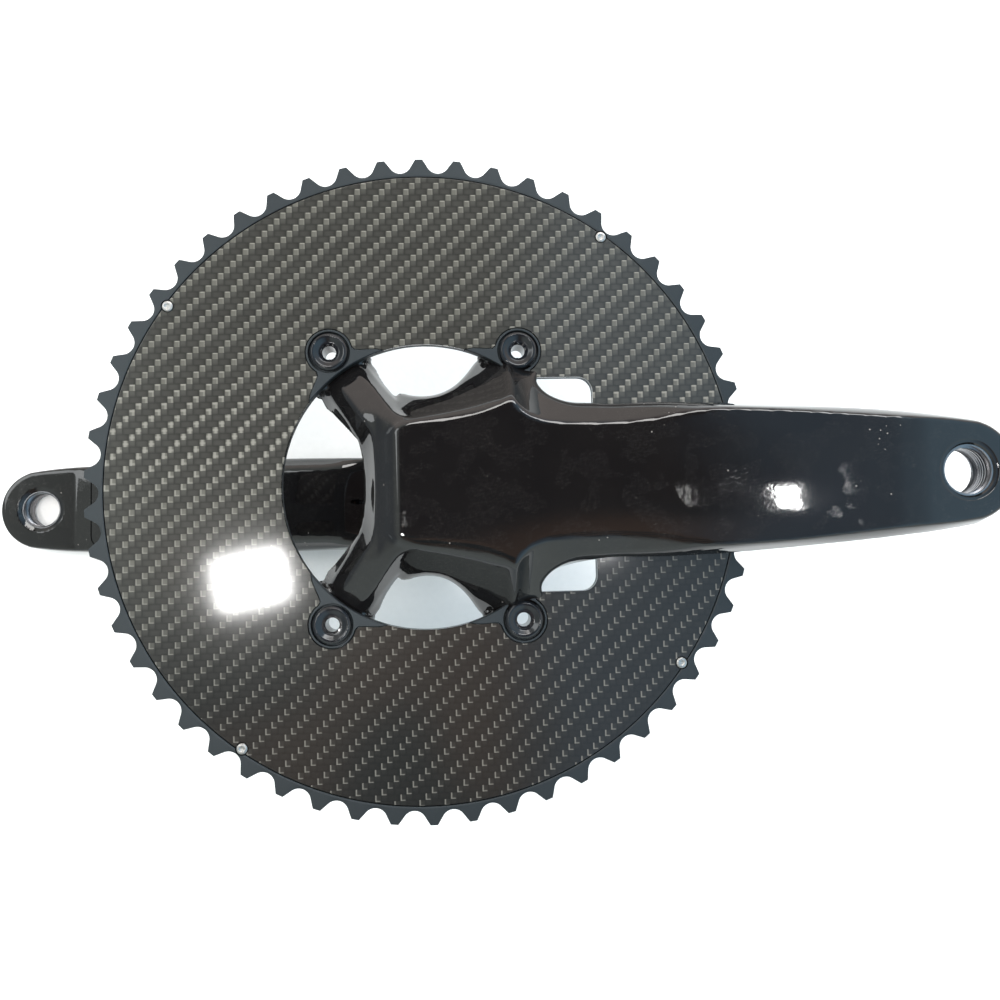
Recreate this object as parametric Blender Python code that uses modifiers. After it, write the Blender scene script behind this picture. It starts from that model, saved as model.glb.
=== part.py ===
"""Bicycle crankset: two hollow crank arms on a steel spindle, one toothed ring with a
carbon face plate, and the fasteners that hold them together.

Frame: the spindle lies along Z with the chainring side up, the origin is on the spindle's
axis midway between the two pedal faces, and +X runs along the chainring side's arm.
"""
import math

import bmesh
import bpy
from mathutils import Matrix

MM = 0.001
GAP = 0.3 * MM                     # clearance between neighbouring solids
THROUGH = 1.0 * MM                 # how far a cutter runs past the face it cuts
FLUSH = 0.3 * MM                   # step that keeps joined shapes from sharing a face

# ---- driving dimensions -------------------------------------------------------------
CRANK_LENGTH = 170 * MM            # spindle axis to pedal axis
Q_FACTOR = 146 * MM                # over the two pedal faces
BEARING_SPAN = 90 * MM             # between the shoulders that press on the bearings

TEETH = 54
CHAIN_PITCH = 12.7 * MM
TOOTH_PHASE = math.radians(3.66)   # centre of the first tooth, from +X
TOOTH_ROOT_DEPTH = 3.1 * MM        # below the pitch circle
TOOTH_TIP_HEIGHT = 1.6 * MM        # above the pitch circle
TOOTH_TIP_WIDTH = 2.4 * MM
TOOTH_THICKNESS = 2.2 * MM
ROLLER_RADIUS = 3.95 * MM
ROLLER_WRAP = math.radians(54)     # part of the gap that is round, each side of its root

RING_FACE = 45 * MM                # outer face of the chainring, from the middle plane
RING_THICKNESS = 4.0 * MM
RING_FLOOR = 2.0 * MM              # alloy left under the carbon plate
RIM_WIDTH = 1.4 * MM               # alloy showing between the tooth roots and the plate
BOLT_CIRCLE = 110 * MM
BOLT_ANGLES = [math.radians(a) for a in (55, 125, 235, 305)]
BOLT_EDGE = 7.5 * MM               # bolt centre to the edge of the ring's opening
TAB_RADIUS = 7.6 * MM              # alloy land round each bolt
TAB_FLARE = 11 * MM                # half width of that land at the opening
POCKET_HALF_WIDTH = 36 * MM        # clearance in the ring where the arm passes
POCKET_REACH = 9 * MM              # how far it runs beyond the round opening
POCKET_CORNER = 5 * MM
LIGHTENING_WINDOWS = 16
WINDOW_WEB = math.radians(6)
WINDOW_RIM = 8 * MM

RIVET_HEAD_RADIUS = 1.9 * MM
RIVET_SHANK_RADIUS = 1.0 * MM
RIVET_ANGLES = [TOOTH_PHASE + math.radians(50.44 + 90 * k) for k in range(4)]

BOLT_HEAD_RADIUS = 6.2 * MM
BOLT_HEAD_HEIGHT = 3.0 * MM
BOLT_SHANK_RADIUS = 3.9 * MM
BOLT_BORE_RADIUS = 2.0 * MM
BOLT_SOCKET_RADIUS = 3.2 * MM
BOLT_SOCKET_DEPTH = 2.4 * MM
NUT_BARREL_RADIUS = 5.0 * MM
NUT_FLANGE_RADIUS = 6.6 * MM
NUT_FLANGE_HEIGHT = 2.4 * MM

SPIDER_TAB_THICKNESS = 5 * MM
SPIDER_TAB_RADIUS = 9 * MM
SPIDER_WINDOW_INNER = 29.8 * MM    # spindle axis to the root of the side windows
SPIDER_BACK = 24.5 * MM            # spindle axis to the spider's plain side
SPIDER_HUB_HEIGHT = 10 * MM        # from the bearing shoulder to the legs' high end

SPINDLE_DIAMETER = 24 * MM
SPINDLE_WALL = 2.5 * MM
SPINDLE_SOCKET_DEPTH = 9 * MM      # how far the spindle stands in the chainring arm
SPLINES = 16
SPLINE_DEPTH = 0.8 * MM
BORE_MOUTH = 1.0 * MM              # plain round start of the left arm's splined bore
WINDOW_START = 0.3 * MM            # stopper's window in the spindle, from the left shoulder
WINDOW_LENGTH = 4.3 * MM
SHOULDER_WIDTH = 3.5 * MM
SHOULDER_HEIGHT = 0.6 * MM

ARM_WALL = 3.2 * MM
SIDE_FULLNESS = 0.15               # how far the arms' sides belly out between edge and waist
COVER_THICKNESS = 1.8 * MM
COVER_LEDGE = 1.6 * MM
ARM_END_RADIUS = 17.5 * MM
PEDAL_END_THICKNESS = 13 * MM
PEDAL_HOLE_RADIUS = 7.1 * MM
PEDAL_CHAMFER = 1.2 * MM
PEDAL_FLAT_START = 13 * MM         # flat pedal seat, from the pedal axis towards the hub

LEFT_HUB_THICKNESS = 21 * MM
LEFT_HUB_WALL = 7.5 * MM
CLAMP_SLOT = 2.2 * MM
CLAMP_DEPTH = 17 * MM              # depth of the clamped part of the bore
CLAMP_BOLT_RADIUS = 3.0 * MM
CLAMP_HEAD_RADIUS = 4.6 * MM
CLAMP_HEAD_HEIGHT = 5.0 * MM
CLAMP_HEX_RADIUS = 2.9 * MM
CLAMP_HEX_DEPTH = 3.0 * MM
CLAMP_SPACING = 11.5 * MM
CLAMP_SEAT = 12.4 * MM             # from the slot's plane to the heads' seats
CLAMP_END_WALL = 3.4 * MM
WASHER_THICKNESS = 0.8 * MM
STOPPER_THICKNESS = 1.6 * MM
STOPPER_HUB_RADIUS = 4.9 * MM
STOPPER_TOOTH = 2.0 * MM
CAP_FLANGE_RADIUS = 12.9 * MM
CAP_FLANGE_HEIGHT = 2.2 * MM
CAP_SHANK_LENGTH = 8 * MM
CAP_TOOL_RADIUS = 6.2 * MM
CAP_TOOL_LOBES = 8
CAP_TOOL_DEPTH = 6.5 * MM

# ---- sizes that follow --------------------------------------------------------------
PEDAL_FACE = Q_FACTOR / 2
SHOULDER = BEARING_SPAN / 2
PITCH_RADIUS = CHAIN_PITCH / (2 * math.sin(math.pi / TEETH))
ROOT_RADIUS = PITCH_RADIUS - TOOTH_ROOT_DEPTH
TIP_RADIUS = PITCH_RADIUS + TOOTH_TIP_HEIGHT
RECESS_RADIUS = ROOT_RADIUS - RIM_WIDTH
RIVET_CIRCLE = RECESS_RADIUS - 1.0 * MM
BOLT_RADIUS = BOLT_CIRCLE / 2
OPENING_RADIUS = BOLT_RADIUS - BOLT_EDGE
POCKET_END = OPENING_RADIUS + POCKET_REACH
RING_BACK = RING_FACE - RING_THICKNESS
RING_SEAT = RING_BACK + RING_FLOOR
TAB_FACE = RING_BACK - GAP
TAB_BACK = TAB_FACE - SPIDER_TAB_THICKNESS
COUNTERBORE_RADIUS = BOLT_HEAD_RADIUS + 2 * GAP
NUT_HOLE_RADIUS = NUT_BARREL_RADIUS + GAP
SPINDLE_RADIUS = SPINDLE_DIAMETER / 2
SPINDLE_BORE = SPINDLE_RADIUS - SPINDLE_WALL
SHOULDER_RADIUS = SPINDLE_RADIUS + SHOULDER_WIDTH
HUB_BACK = SHOULDER + SHOULDER_HEIGHT
SOCKET_TOP = SHOULDER + SPINDLE_SOCKET_DEPTH
CLAMP_FLOOR = SHOULDER + CLAMP_DEPTH
SPINDLE_LEFT_END = CLAMP_FLOOR - 2 * MM
LEFT_HUB_RADIUS = SPINDLE_RADIUS + LEFT_HUB_WALL
LEFT_HUB_FACE = SHOULDER + LEFT_HUB_THICKNESS
CLAMP_X = SPINDLE_RADIUS + 6.5 * MM
CLAMP_Z = SHOULDER + 8 * MM
CLAMP_HEADS = [(CLAMP_X, 1), (CLAMP_X + CLAMP_SPACING, -1)]
SLOT_END = CLAMP_X + CLAMP_SPACING + 4.5 * MM
ARM_STEP = POCKET_END - 0.7 * MM   # where the arm's back steps up over the ring

LEFT_TURN = Matrix.Rotation(math.pi, 4, "Y")


# ---- collections, materials and objects ---------------------------------------------
for old in list(bpy.data.objects):
    bpy.data.objects.remove(old, do_unlink=True)

crankset = bpy.data.collections.new("bicycle_crankset")
cutters = bpy.data.collections.new("cutters")
bpy.context.scene.collection.children.link(crankset)
bpy.context.scene.collection.children.link(cutters)


def material(name, color, roughness, metallic):
    made = bpy.data.materials.new(name)
    made.use_nodes = True
    shader = made.node_tree.nodes["Principled BSDF"]
    shader.inputs["Base Color"].default_value = (*color, 1)
    shader.inputs["Roughness"].default_value = roughness
    shader.inputs["Metallic"].default_value = metallic
    return made


def add_mesh(name, mesh, finish=None):
    """Put a mesh in the scene, as a part if it has a finish and as a cutter if not."""
    made = bpy.data.objects.new(name, mesh)
    if finish is None:
        cutters.objects.link(made)
        made.hide_render = True
        made.display_type = "WIRE"
    else:
        crankset.objects.link(made)
        mesh.materials.clear()
        mesh.materials.append(material(name, *finish))
    return made


def bake(source, finish=None):
    """Turn a curve or a modified object into a plain closed mesh."""
    name = source.name
    graph = bpy.context.evaluated_depsgraph_get()
    mesh = bpy.data.meshes.new_from_object(source.evaluated_get(graph))
    mesh.transform(source.matrix_world)
    bpy.data.objects.remove(source, do_unlink=True)
    shape = bmesh.new()
    shape.from_mesh(mesh)
    bmesh.ops.remove_doubles(shape, verts=shape.verts, dist=0.001 * MM)
    bmesh.ops.recalc_face_normals(shape, faces=shape.faces)
    shape.to_mesh(mesh)
    shape.free()
    return add_mesh(name, mesh, finish)


def plate(name, loops, low, high, finish=None):
    """Flat outline, with holes as further loops, between two heights."""
    curve = bpy.data.curves.new(name, "CURVE")
    curve.dimensions = "2D"
    curve.fill_mode = "BOTH"
    curve.extrude = (high - low) / 2
    for loop in loops:
        spline = curve.splines.new("POLY")
        spline.points.add(len(loop) - 1)
        for point, (x, y) in zip(spline.points, loop):
            point.co = (x, y, 0, 1)
        spline.use_cyclic_u = True
    holder = bpy.data.objects.new(name, curve)
    cutters.objects.link(holder)
    holder.location.z = (high + low) / 2
    bpy.context.view_layer.update()
    return bake(holder, finish)


def turned(name, profile, finish=None, steps=20, closed=False):
    """Profile of (radius, height) points turned about Z."""
    mesh = bpy.data.meshes.new(name)
    points = [(r, 0, z) for r, z in profile]
    edges = [(i, i + 1) for i in range(len(points) - 1)]
    if closed:
        edges.append((len(points) - 1, 0))
    mesh.from_pydata(points, edges, [])
    holder = bpy.data.objects.new(name, mesh)
    cutters.objects.link(holder)
    screw = holder.modifiers.new("turn", "SCREW")
    screw.steps = steps
    screw.render_steps = steps
    screw.use_merge_vertices = True
    screw.merge_threshold = 0.01 * MM
    return bake(holder, finish)


def rod(name, radius, low, high, finish=None, steps=20):
    return turned(name, [(0, high), (radius, high), (radius, low), (0, low)], finish, steps)


def loft(name, sections, finish=None):
    """Closed skin through sections that all have the same number of points."""
    mesh = bpy.data.meshes.new(name)
    count = len(sections[0])
    points = [point for section in sections for point in section]
    faces = [tuple(range(count)), tuple(range(len(points) - count, len(points)))]
    for row in range(len(sections) - 1):
        start = row * count
        for i in range(count):
            j = (i + 1) % count
            faces.append((start + i, start + j, start + count + j, start + count + i))
    mesh.from_pydata(points, [], faces)
    shape = bmesh.new()
    shape.from_mesh(mesh)
    bmesh.ops.recalc_face_normals(shape, faces=shape.faces)
    shape.to_mesh(mesh)
    shape.free()
    return add_mesh(name, mesh, finish)


def combine(target, tools, operation):
    for tool in tools:
        step = target.modifiers.new(tool.name, "BOOLEAN")
        step.operation = operation
        step.solver = "EXACT"
        step.object = tool
    return target


def place(target, x=0.0, y=0.0, z=0.0, turn=None):
    """Bake a move into a mesh, so that boolean tools and parts share one frame."""
    matrix = Matrix.Translation((x, y, z))
    if turn is not None:
        matrix = matrix @ turn
    target.data.transform(matrix)
    return target


# ---- outlines -----------------------------------------------------------------------
def circle(radius, steps, x=0.0, y=0.0):
    angles = [2 * math.pi * i / steps for i in range(steps)]
    return [(x + radius * math.cos(a), y + radius * math.sin(a)) for a in angles]


def arc(x, y, radius, start, end, steps):
    angles = [start + (end - start) * i / steps for i in range(steps + 1)]
    return [(x + radius * math.cos(a), y + radius * math.sin(a)) for a in angles]


def polar(radius, angle):
    return radius * math.cos(angle), radius * math.sin(angle)


def mirrored(points):
    """Close a half outline, given from +Y down to -Y's mirror line, across Y = 0."""
    return points + [(x, -y) for x, y in reversed(points)]


def tooth_outline():
    """Round roller gaps, straight flanks and flat tips."""
    outline = []
    pitch = 2 * math.pi / TEETH
    seat = ROOT_RADIUS + ROLLER_RADIUS
    tip = TOOTH_TIP_WIDTH / 2 / TIP_RADIUS
    for k in range(TEETH):
        middle = TOOTH_PHASE + k * pitch
        outline += [polar(TIP_RADIUS, middle - tip), polar(TIP_RADIUS, middle + tip)]
        gap = middle + pitch / 2
        x, y = polar(seat, gap)
        outline += arc(x, y, ROLLER_RADIUS, gap + math.pi + ROLLER_WRAP,
                       gap + math.pi - ROLLER_WRAP, 3)
    return outline


def opening_outline(grow=0.0):
    """Round opening of the ring with the arm's pocket on its +X side."""
    radius = OPENING_RADIUS + grow
    half = POCKET_HALF_WIDTH + grow
    end = POCKET_END + grow
    start = math.asin(half / radius) if half < radius else math.pi / 2
    corner = arc(end - POCKET_CORNER, half - POCKET_CORNER, POCKET_CORNER, 0, math.pi / 2, 5)
    return mirrored(corner + arc(0, 0, radius, start, math.pi, 24)[:-1])


def tab_outline(angle, grow=0.0):
    """Alloy land round a ring bolt: a circle that flares into the opening's edge."""
    radius = TAB_RADIUS + grow
    flare = TAB_FLARE + grow
    inner = OPENING_RADIUS - 4 * MM
    waist = BOLT_RADIUS - 0.45 * radius
    points = [(inner, -flare - 3 * MM), (OPENING_RADIUS - 0.5 * MM, -flare)]
    points += [(OPENING_RADIUS + 0.25 * BOLT_EDGE, -(flare + radius) / 2 + 0.6 * MM)]
    points += [(waist, -radius * 0.9)]
    points += arc(BOLT_RADIUS, 0, radius, -math.pi / 2, math.pi / 2, 8)
    points += [(x, -y) for x, y in reversed(points[:4])]
    turn = Matrix.Rotation(angle, 2)
    return [tuple(turn @ Matrix.Translation((x, y, 0)).translation.xy) for x, y in points]


def ring_sector(inner, outer, start, end, steps):
    return arc(0, 0, outer, start, end, steps) + arc(0, 0, inner, end, start, steps)


def spline_outline(grow=0.0):
    outline = []
    for k in range(SPLINES):
        middle = 2 * math.pi * (k + 0.5) / SPLINES
        quarter = math.pi / SPLINES / 2
        top = SPINDLE_RADIUS + grow
        root = SPINDLE_RADIUS - SPLINE_DEPTH + grow
        for radius, offset in ((root, -1.5), (top, -0.8), (top, 0.8), (root, 1.5)):
            outline.append(polar(radius, middle + offset * quarter))
    return outline


# ---- finishes: base colour, roughness, metallic -------------------------------------
GLOSS_BLACK = ((0.012, 0.012, 0.014), 0.12, 0.0)
SATIN_ALLOY = ((0.045, 0.052, 0.062), 0.45, 0.9)
CARBON = ((0.06, 0.065, 0.058), 0.25, 0.0)
STEEL = ((0.42, 0.42, 0.44), 0.3, 1.0)
BLACK_STEEL = ((0.02, 0.022, 0.03), 0.25, 0.8)
SILVER = ((0.8, 0.8, 0.78), 0.25, 1.0)
BLACK_PLASTIC = ((0.02, 0.02, 0.02), 0.5, 0.0)


# ---- crank arm bodies ---------------------------------------------------------------
def interpolate(table, x):
    """Straight-line value of a list of (position, value) pairs."""
    for (x0, v0), (x1, v1) in zip(table, table[1:]):
        if x <= x1:
            share = max(0.0, (x - x0) / (x1 - x0))
            return v0 + (v1 - v0) * share
    return table[-1][1]


class Arm:
    """Lofted crank arm: tables of half width, plateau, back, waist and top along X."""

    def __init__(self, stations, wide, plateau, back, waist, top):
        self.stations = stations
        self.tables = wide, plateau, back, waist, top

    def section(self, x, inset=0.0, low=None, high=None):
        wide, plateau, back, waist, top = (interpolate(t, x) for t in self.tables)
        end = CRANK_LENGTH + ARM_END_RADIUS
        if x > CRANK_LENGTH:
            reach = ARM_END_RADIUS ** 2 - (x - CRANK_LENGTH) ** 2
            limit = math.sqrt(max(reach, (0.03 * ARM_END_RADIUS) ** 2))
            wide = min(wide, limit)
        plateau = min(plateau, wide - 2.5 * MM if wide > 6 * MM else wide * 0.6)
        wide -= inset
        plateau = min(plateau, wide - 1 * MM) if inset else plateau
        foot = wide - 2.5 * MM if wide > 6 * MM else wide * 0.6
        bottom = back if low is None else back + low
        ceiling = top - inset if high is None else back + high
        if high is not None or inset:
            waist = (bottom + ceiling) / 2
        seat = x > CRANK_LENGTH - PEDAL_FLAT_START or inset
        crown = 0.0 if seat else 0.9 * MM
        upper_side = (wide - SIDE_FULLNESS * (wide - plateau), (waist + ceiling) / 2)
        lower_side = (wide - SIDE_FULLNESS * (wide - foot), (waist + bottom) / 2)
        half = [(0, ceiling), (plateau, ceiling - crown), upper_side, (wide, waist), lower_side,
                (foot, bottom)]
        if high is not None:
            half = [(0, ceiling), (wide, ceiling), (wide, bottom)]
        ring = half + [(-y, z) for y, z in reversed(half[1:])]
        return [(min(x, end), y, z) for y, z in ring]

    def body(self, name, start, end, **options):
        inside = [x for x in self.stations if start < x < end]
        return loft(name, [self.section(x, **options) for x in [start] + inside + [end]])


def along(share):
    """Position between the arm's step over the ring and the pedal axis."""
    return ARM_STEP + share * (CRANK_LENGTH - ARM_STEP)


END_STATIONS = [CRANK_LENGTH + ARM_END_RADIUS * math.sin(math.radians(a)) for a in range(0, 90, 12)]
ARM_END = CRANK_LENGTH + ARM_END_RADIUS
PEDAL_BACK = PEDAL_FACE - PEDAL_END_THICKNESS
ARM_CREST = SHOULDER + 17.5 * MM   # top of the chainring arm beside the hub
HUB_EDGE = -15.5 * MM              # where the chainring arm's body starts, past the spindle
RING_AIR = 1.5 * MM                # air between the arm and the ring

right_profile = Arm(
    stations=[-8 * MM, 0, 15 * MM, 28 * MM, 33 * MM, 38 * MM, 42 * MM, 46 * MM, 51 * MM,
              ARM_STEP, ARM_STEP + 0.2 * MM] + [along(s) for s in (0.2, 0.36, 0.56, 0.74, 0.87)]
    + END_STATIONS,
    wide=[(HUB_EDGE, 17 * MM), (0, 20 * MM), (15 * MM, 22 * MM), (28 * MM, 25 * MM), (33 * MM, 29 * MM),
          (38 * MM, 30 * MM), (42 * MM, 28.3 * MM), (46 * MM, 27.1 * MM), (51 * MM, 26.2 * MM),
          (ARM_STEP, 25.6 * MM), (along(0.2), 25.0 * MM), (along(0.36), 24.5 * MM),
          (along(0.56), 22.6 * MM), (along(0.74), 20.8 * MM), (along(0.87), 19.2 * MM),
          (CRANK_LENGTH, ARM_END_RADIUS)],
    plateau=[(HUB_EDGE, 14.5 * MM), (0, 18.5 * MM), (28 * MM, 22.5 * MM), (33 * MM, 19 * MM),
             (40 * MM, 17.3 * MM), (along(0.2), 16 * MM), (along(0.56), 15 * MM),
             (CRANK_LENGTH, 14 * MM)],
    back=[(HUB_EDGE, HUB_BACK + FLUSH), (28 * MM, HUB_BACK + FLUSH), (33 * MM, TAB_FACE + RING_AIR),
          (ARM_STEP, TAB_FACE + RING_AIR), (ARM_STEP + 0.2 * MM, RING_FACE + RING_AIR),
          (along(0.87), PEDAL_BACK), (CRANK_LENGTH, PEDAL_BACK)],
    waist=[(HUB_EDGE, SHOULDER + 6 * MM), (40 * MM, SHOULDER + 8 * MM),
           (along(0.1), SHOULDER + 11 * MM),
           (along(0.87), PEDAL_FACE - 6 * MM), (CRANK_LENGTH, PEDAL_FACE - 6 * MM)],
    top=[(HUB_EDGE, ARM_CREST - 7.5 * MM), (-8 * MM, ARM_CREST - 3.5 * MM), (0, ARM_CREST - 1.5 * MM),
         (15 * MM, ARM_CREST - 0.5 * MM), (33 * MM, ARM_CREST), (along(0.87), PEDAL_FACE),
         (CRANK_LENGTH, PEDAL_FACE)])

left_profile = Arm(
    stations=[8 * MM, 20 * MM, 38 * MM, along(0.1), along(0.3), along(0.5), along(0.7), along(0.87)]
    + END_STATIONS,
    wide=[(0, LEFT_HUB_RADIUS - 0.3 * MM), (40 * MM, 20.4 * MM), (along(0.3), 20.6 * MM),
          (along(0.87), 19 * MM), (CRANK_LENGTH, ARM_END_RADIUS)],
    plateau=[(0, 17 * MM), (CRANK_LENGTH, 14 * MM)],
    back=[(0, HUB_BACK + FLUSH), (38 * MM, HUB_BACK + FLUSH), (along(0.87), PEDAL_BACK),
          (CRANK_LENGTH, PEDAL_BACK)],
    waist=[(0, SHOULDER + 11 * MM), (38 * MM, SHOULDER + 12 * MM), (along(0.87), PEDAL_FACE - 6 * MM),
           (CRANK_LENGTH, PEDAL_FACE - 6 * MM)],
    top=[(0, LEFT_HUB_FACE - FLUSH), (38 * MM, LEFT_HUB_FACE - FLUSH), (along(0.87), PEDAL_FACE),
         (CRANK_LENGTH, PEDAL_FACE)])


def pedal_hole(name):
    """Through hole with a small chamfer at both mouths."""
    wide = PEDAL_HOLE_RADIUS + PEDAL_CHAMFER
    profile = [(0, PEDAL_FACE + THROUGH), (wide, PEDAL_FACE + THROUGH), (wide, PEDAL_FACE),
               (PEDAL_HOLE_RADIUS, PEDAL_FACE - PEDAL_CHAMFER),
               (PEDAL_HOLE_RADIUS, PEDAL_BACK + PEDAL_CHAMFER),
               (wide, PEDAL_BACK), (wide, PEDAL_BACK - THROUGH), (0, PEDAL_BACK - THROUGH)]
    return place(turned(name, profile), CRANK_LENGTH)


def hollow(profile, side, start, end):
    """The arm's inner hollow and the rebate that its cover sits in."""
    cavity = profile.body(side + "_cavity", start, end, inset=ARM_WALL, low=-THROUGH)
    rebate = profile.body(side + "_rebate", start - COVER_LEDGE, end + COVER_LEDGE,
                          inset=ARM_WALL - COVER_LEDGE, low=-THROUGH, high=COVER_THICKNESS + GAP)
    return [cavity, rebate]


def cover(profile, side, start, end):
    return profile.body(side + "_arm_cover", start - COVER_LEDGE + GAP, end + COVER_LEDGE - GAP,
                        inset=ARM_WALL - COVER_LEDGE + GAP, low=0.0, high=COVER_THICKNESS)


def as_part(target, finish):
    """Move a finished shape from the cutters to the crankset."""
    cutters.objects.unlink(target)
    crankset.objects.link(target)
    target.hide_render = False
    target.display_type = "TEXTURED"
    target.data.materials.clear()
    target.data.materials.append(material(target.name, *finish))
    return target


# ---- chainring side arm with its spider ---------------------------------------------
def spider_outline():
    """Plan of the four legs: one broad window above, below and beside the hub."""
    radius = OPENING_RADIUS
    window = SPIDER_WINDOW_INNER
    top = [polar(radius + 1 * MM, math.radians(68)), (12.4 * MM, window + 0.4 * (radius - window)),
           (8 * MM, window + 2.7 * MM), (4.2 * MM, window + 0.7 * MM), (0, window)]
    top += [(-x, y) for x, y in reversed(top[:-1])]

    def tab(angle):
        x, y = polar(BOLT_RADIUS, angle)
        wrap = math.radians(100)
        return arc(x, y, SPIDER_TAB_RADIUS, angle - wrap, angle + wrap, 10)

    first, second = BOLT_ANGLES[:2]
    upper = [(44 * MM, 27 * MM), (40 * MM, 29 * MM), polar(radius, math.radians(42.5))]
    upper += tab(first) + top + tab(second)
    upper += [polar(radius, math.radians(140)), (-SPIDER_BACK, 8 * MM)]
    return mirrored(upper)


def make_spider():
    holes = [circle(NUT_HOLE_RADIUS, 20, *polar(BOLT_RADIUS, angle)) for angle in BOLT_ANGLES]
    slab = plate("spider_slab", [spider_outline()] + holes, TAB_BACK, SOCKET_TOP + 6 * MM)
    far = BOLT_RADIUS + 2 * SPIDER_TAB_RADIUS
    low = TAB_BACK - THROUGH
    leg_top = SHOULDER + SPIDER_HUB_HEIGHT
    front = turned("spider_front", [(0, SOCKET_TOP + 2 * MM), (20 * MM, leg_top),
                                    (26 * MM, leg_top - 2.5 * MM),
                                    (OPENING_RADIUS - 1.2 * MM, TAB_FACE), (far, TAB_FACE), (far, low),
                                    (0, low)], steps=40)
    foot = OPENING_RADIUS - 4 * MM
    back = turned("spider_back", [(0, HUB_BACK), (27 * MM, HUB_BACK), (foot, TAB_BACK),
                                  (foot, low - THROUGH), (0, low - THROUGH)], steps=40)
    combine(slab, [front], "INTERSECT")
    combine(slab, [back], "DIFFERENCE")
    return bake(slab)


def make_right_arm():
    arm = right_profile.body("right_arm", HUB_EDGE, ARM_END)
    shoulder = rod("right_shoulder", SHOULDER_RADIUS, SHOULDER, HUB_BACK + 2 * MM, steps=32)
    socket = rod("spindle_socket", SPINDLE_RADIUS + GAP, SHOULDER - THROUGH, SOCKET_TOP, steps=32)
    combine(arm, [make_spider(), shoulder], "UNION")
    combine(arm, [socket, pedal_hole("right_pedal_hole")], "DIFFERENCE")
    combine(arm, hollow(right_profile, "right", HOLLOW_START, HOLLOW_END), "DIFFERENCE")
    return as_part(arm, GLOSS_BLACK)


HOLLOW_START = ARM_STEP + 5 * MM
HOLLOW_END = along(0.87) - 8 * MM
make_right_arm()
as_part(cover(right_profile, "right", HOLLOW_START, HOLLOW_END), GLOSS_BLACK)


# ---- spindle ------------------------------------------------------------------------
def make_spindle():
    """Hollow steel tube, splined where the clamped arm grips it."""
    tube = rod("spindle", SPINDLE_RADIUS, -SHOULDER + THROUGH, SOCKET_TOP - GAP, steps=32)
    splined = plate("spindle_splines", [spline_outline()], -SPINDLE_LEFT_END, -SHOULDER + 2 * THROUGH)
    bore = rod("spindle_bore", SPINDLE_BORE, -SPINDLE_LEFT_END - THROUGH, SOCKET_TOP + THROUGH, steps=32)
    half = STOPPER_THICKNESS / 2 + 1.3 * GAP
    near, far = SPINDLE_BORE - 2 * MM, SPINDLE_RADIUS + THROUGH
    window = plate("spindle_window", [[(near, -half), (far, -half), (far, half), (near, half)]],
                   SHOULDER + WINDOW_START, SHOULDER + WINDOW_START + WINDOW_LENGTH)
    place(window, turn=LEFT_TURN)
    combine(tube, [splined], "UNION")
    combine(tube, [bore, window], "DIFFERENCE")
    return as_part(tube, STEEL)


make_spindle()


# ---- chainring, face plate and rivets -----------------------------------------------
def land_prisms(name, grow, low, high):
    return [plate(f"{name}_{k}", [tab_outline(angle, grow)], low, high)
            for k, angle in enumerate(BOLT_ANGLES, start=1)]


def rivet_notches(name, radius, low, high):
    notches = []
    for k, angle in enumerate(RIVET_ANGLES, start=1):
        x, y = polar(RIVET_CIRCLE, angle)
        notches.append(place(rod(f"{name}_{k}", radius, low, high, steps=10), x, y))
    return notches


def make_chainring():
    tooth_low = RING_FACE - (RING_THICKNESS + TOOTH_THICKNESS) / 2 + 0.6 * MM
    ring = plate("chainring", [tooth_outline()], tooth_low, tooth_low + TOOTH_THICKNESS)
    body = rod("ring_body", ROOT_RADIUS - 0.5 * MM, RING_BACK, RING_FACE, steps=72)
    opening = plate("ring_opening", [opening_outline()], RING_BACK - THROUGH, RING_FACE + THROUGH)

    recess = rod("ring_recess", RECESS_RADIUS, RING_SEAT, RING_FACE + THROUGH, steps=72)
    lands = land_prisms("ring_land", 0.0, RING_SEAT - THROUGH, RING_FACE + 2 * THROUGH)
    combine(recess, lands, "DIFFERENCE")
    recess = bake(recess)

    windows = []
    pitch = 2 * math.pi / LIGHTENING_WINDOWS
    inner = BOLT_RADIUS + 2.2 * SPIDER_TAB_RADIUS
    outer = RECESS_RADIUS - WINDOW_RIM
    for k in range(LIGHTENING_WINDOWS):
        start = k * pitch + WINDOW_WEB / 2
        sector = ring_sector(inner, outer, start, start + pitch - WINDOW_WEB, 6)
        windows.append(plate(f"ring_window_{k + 1}", [sector], RING_BACK - THROUGH, RING_SEAT + THROUGH))

    holes = []
    for k, angle in enumerate(BOLT_ANGLES, start=1):
        x, y = polar(BOLT_RADIUS, angle)
        profile = [(0, RING_FACE + THROUGH), (COUNTERBORE_RADIUS, RING_FACE + THROUGH),
                   (COUNTERBORE_RADIUS, RING_SEAT), (NUT_HOLE_RADIUS, RING_SEAT),
                   (NUT_HOLE_RADIUS, RING_BACK - THROUGH), (0, RING_BACK - THROUGH)]
        holes.append(place(turned(f"ring_hole_{k}", profile), x, y))
    notches = rivet_notches("ring_notch", RIVET_HEAD_RADIUS + GAP, RING_SEAT, RING_FACE + THROUGH)
    drilled = rivet_notches("ring_rivet_hole", RIVET_SHANK_RADIUS + GAP,
                            RING_BACK - THROUGH, RING_SEAT + THROUGH)

    combine(ring, [body], "UNION")
    combine(ring, [opening, recess] + windows + holes + notches + drilled, "DIFFERENCE")
    return as_part(ring, SATIN_ALLOY)


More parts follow.
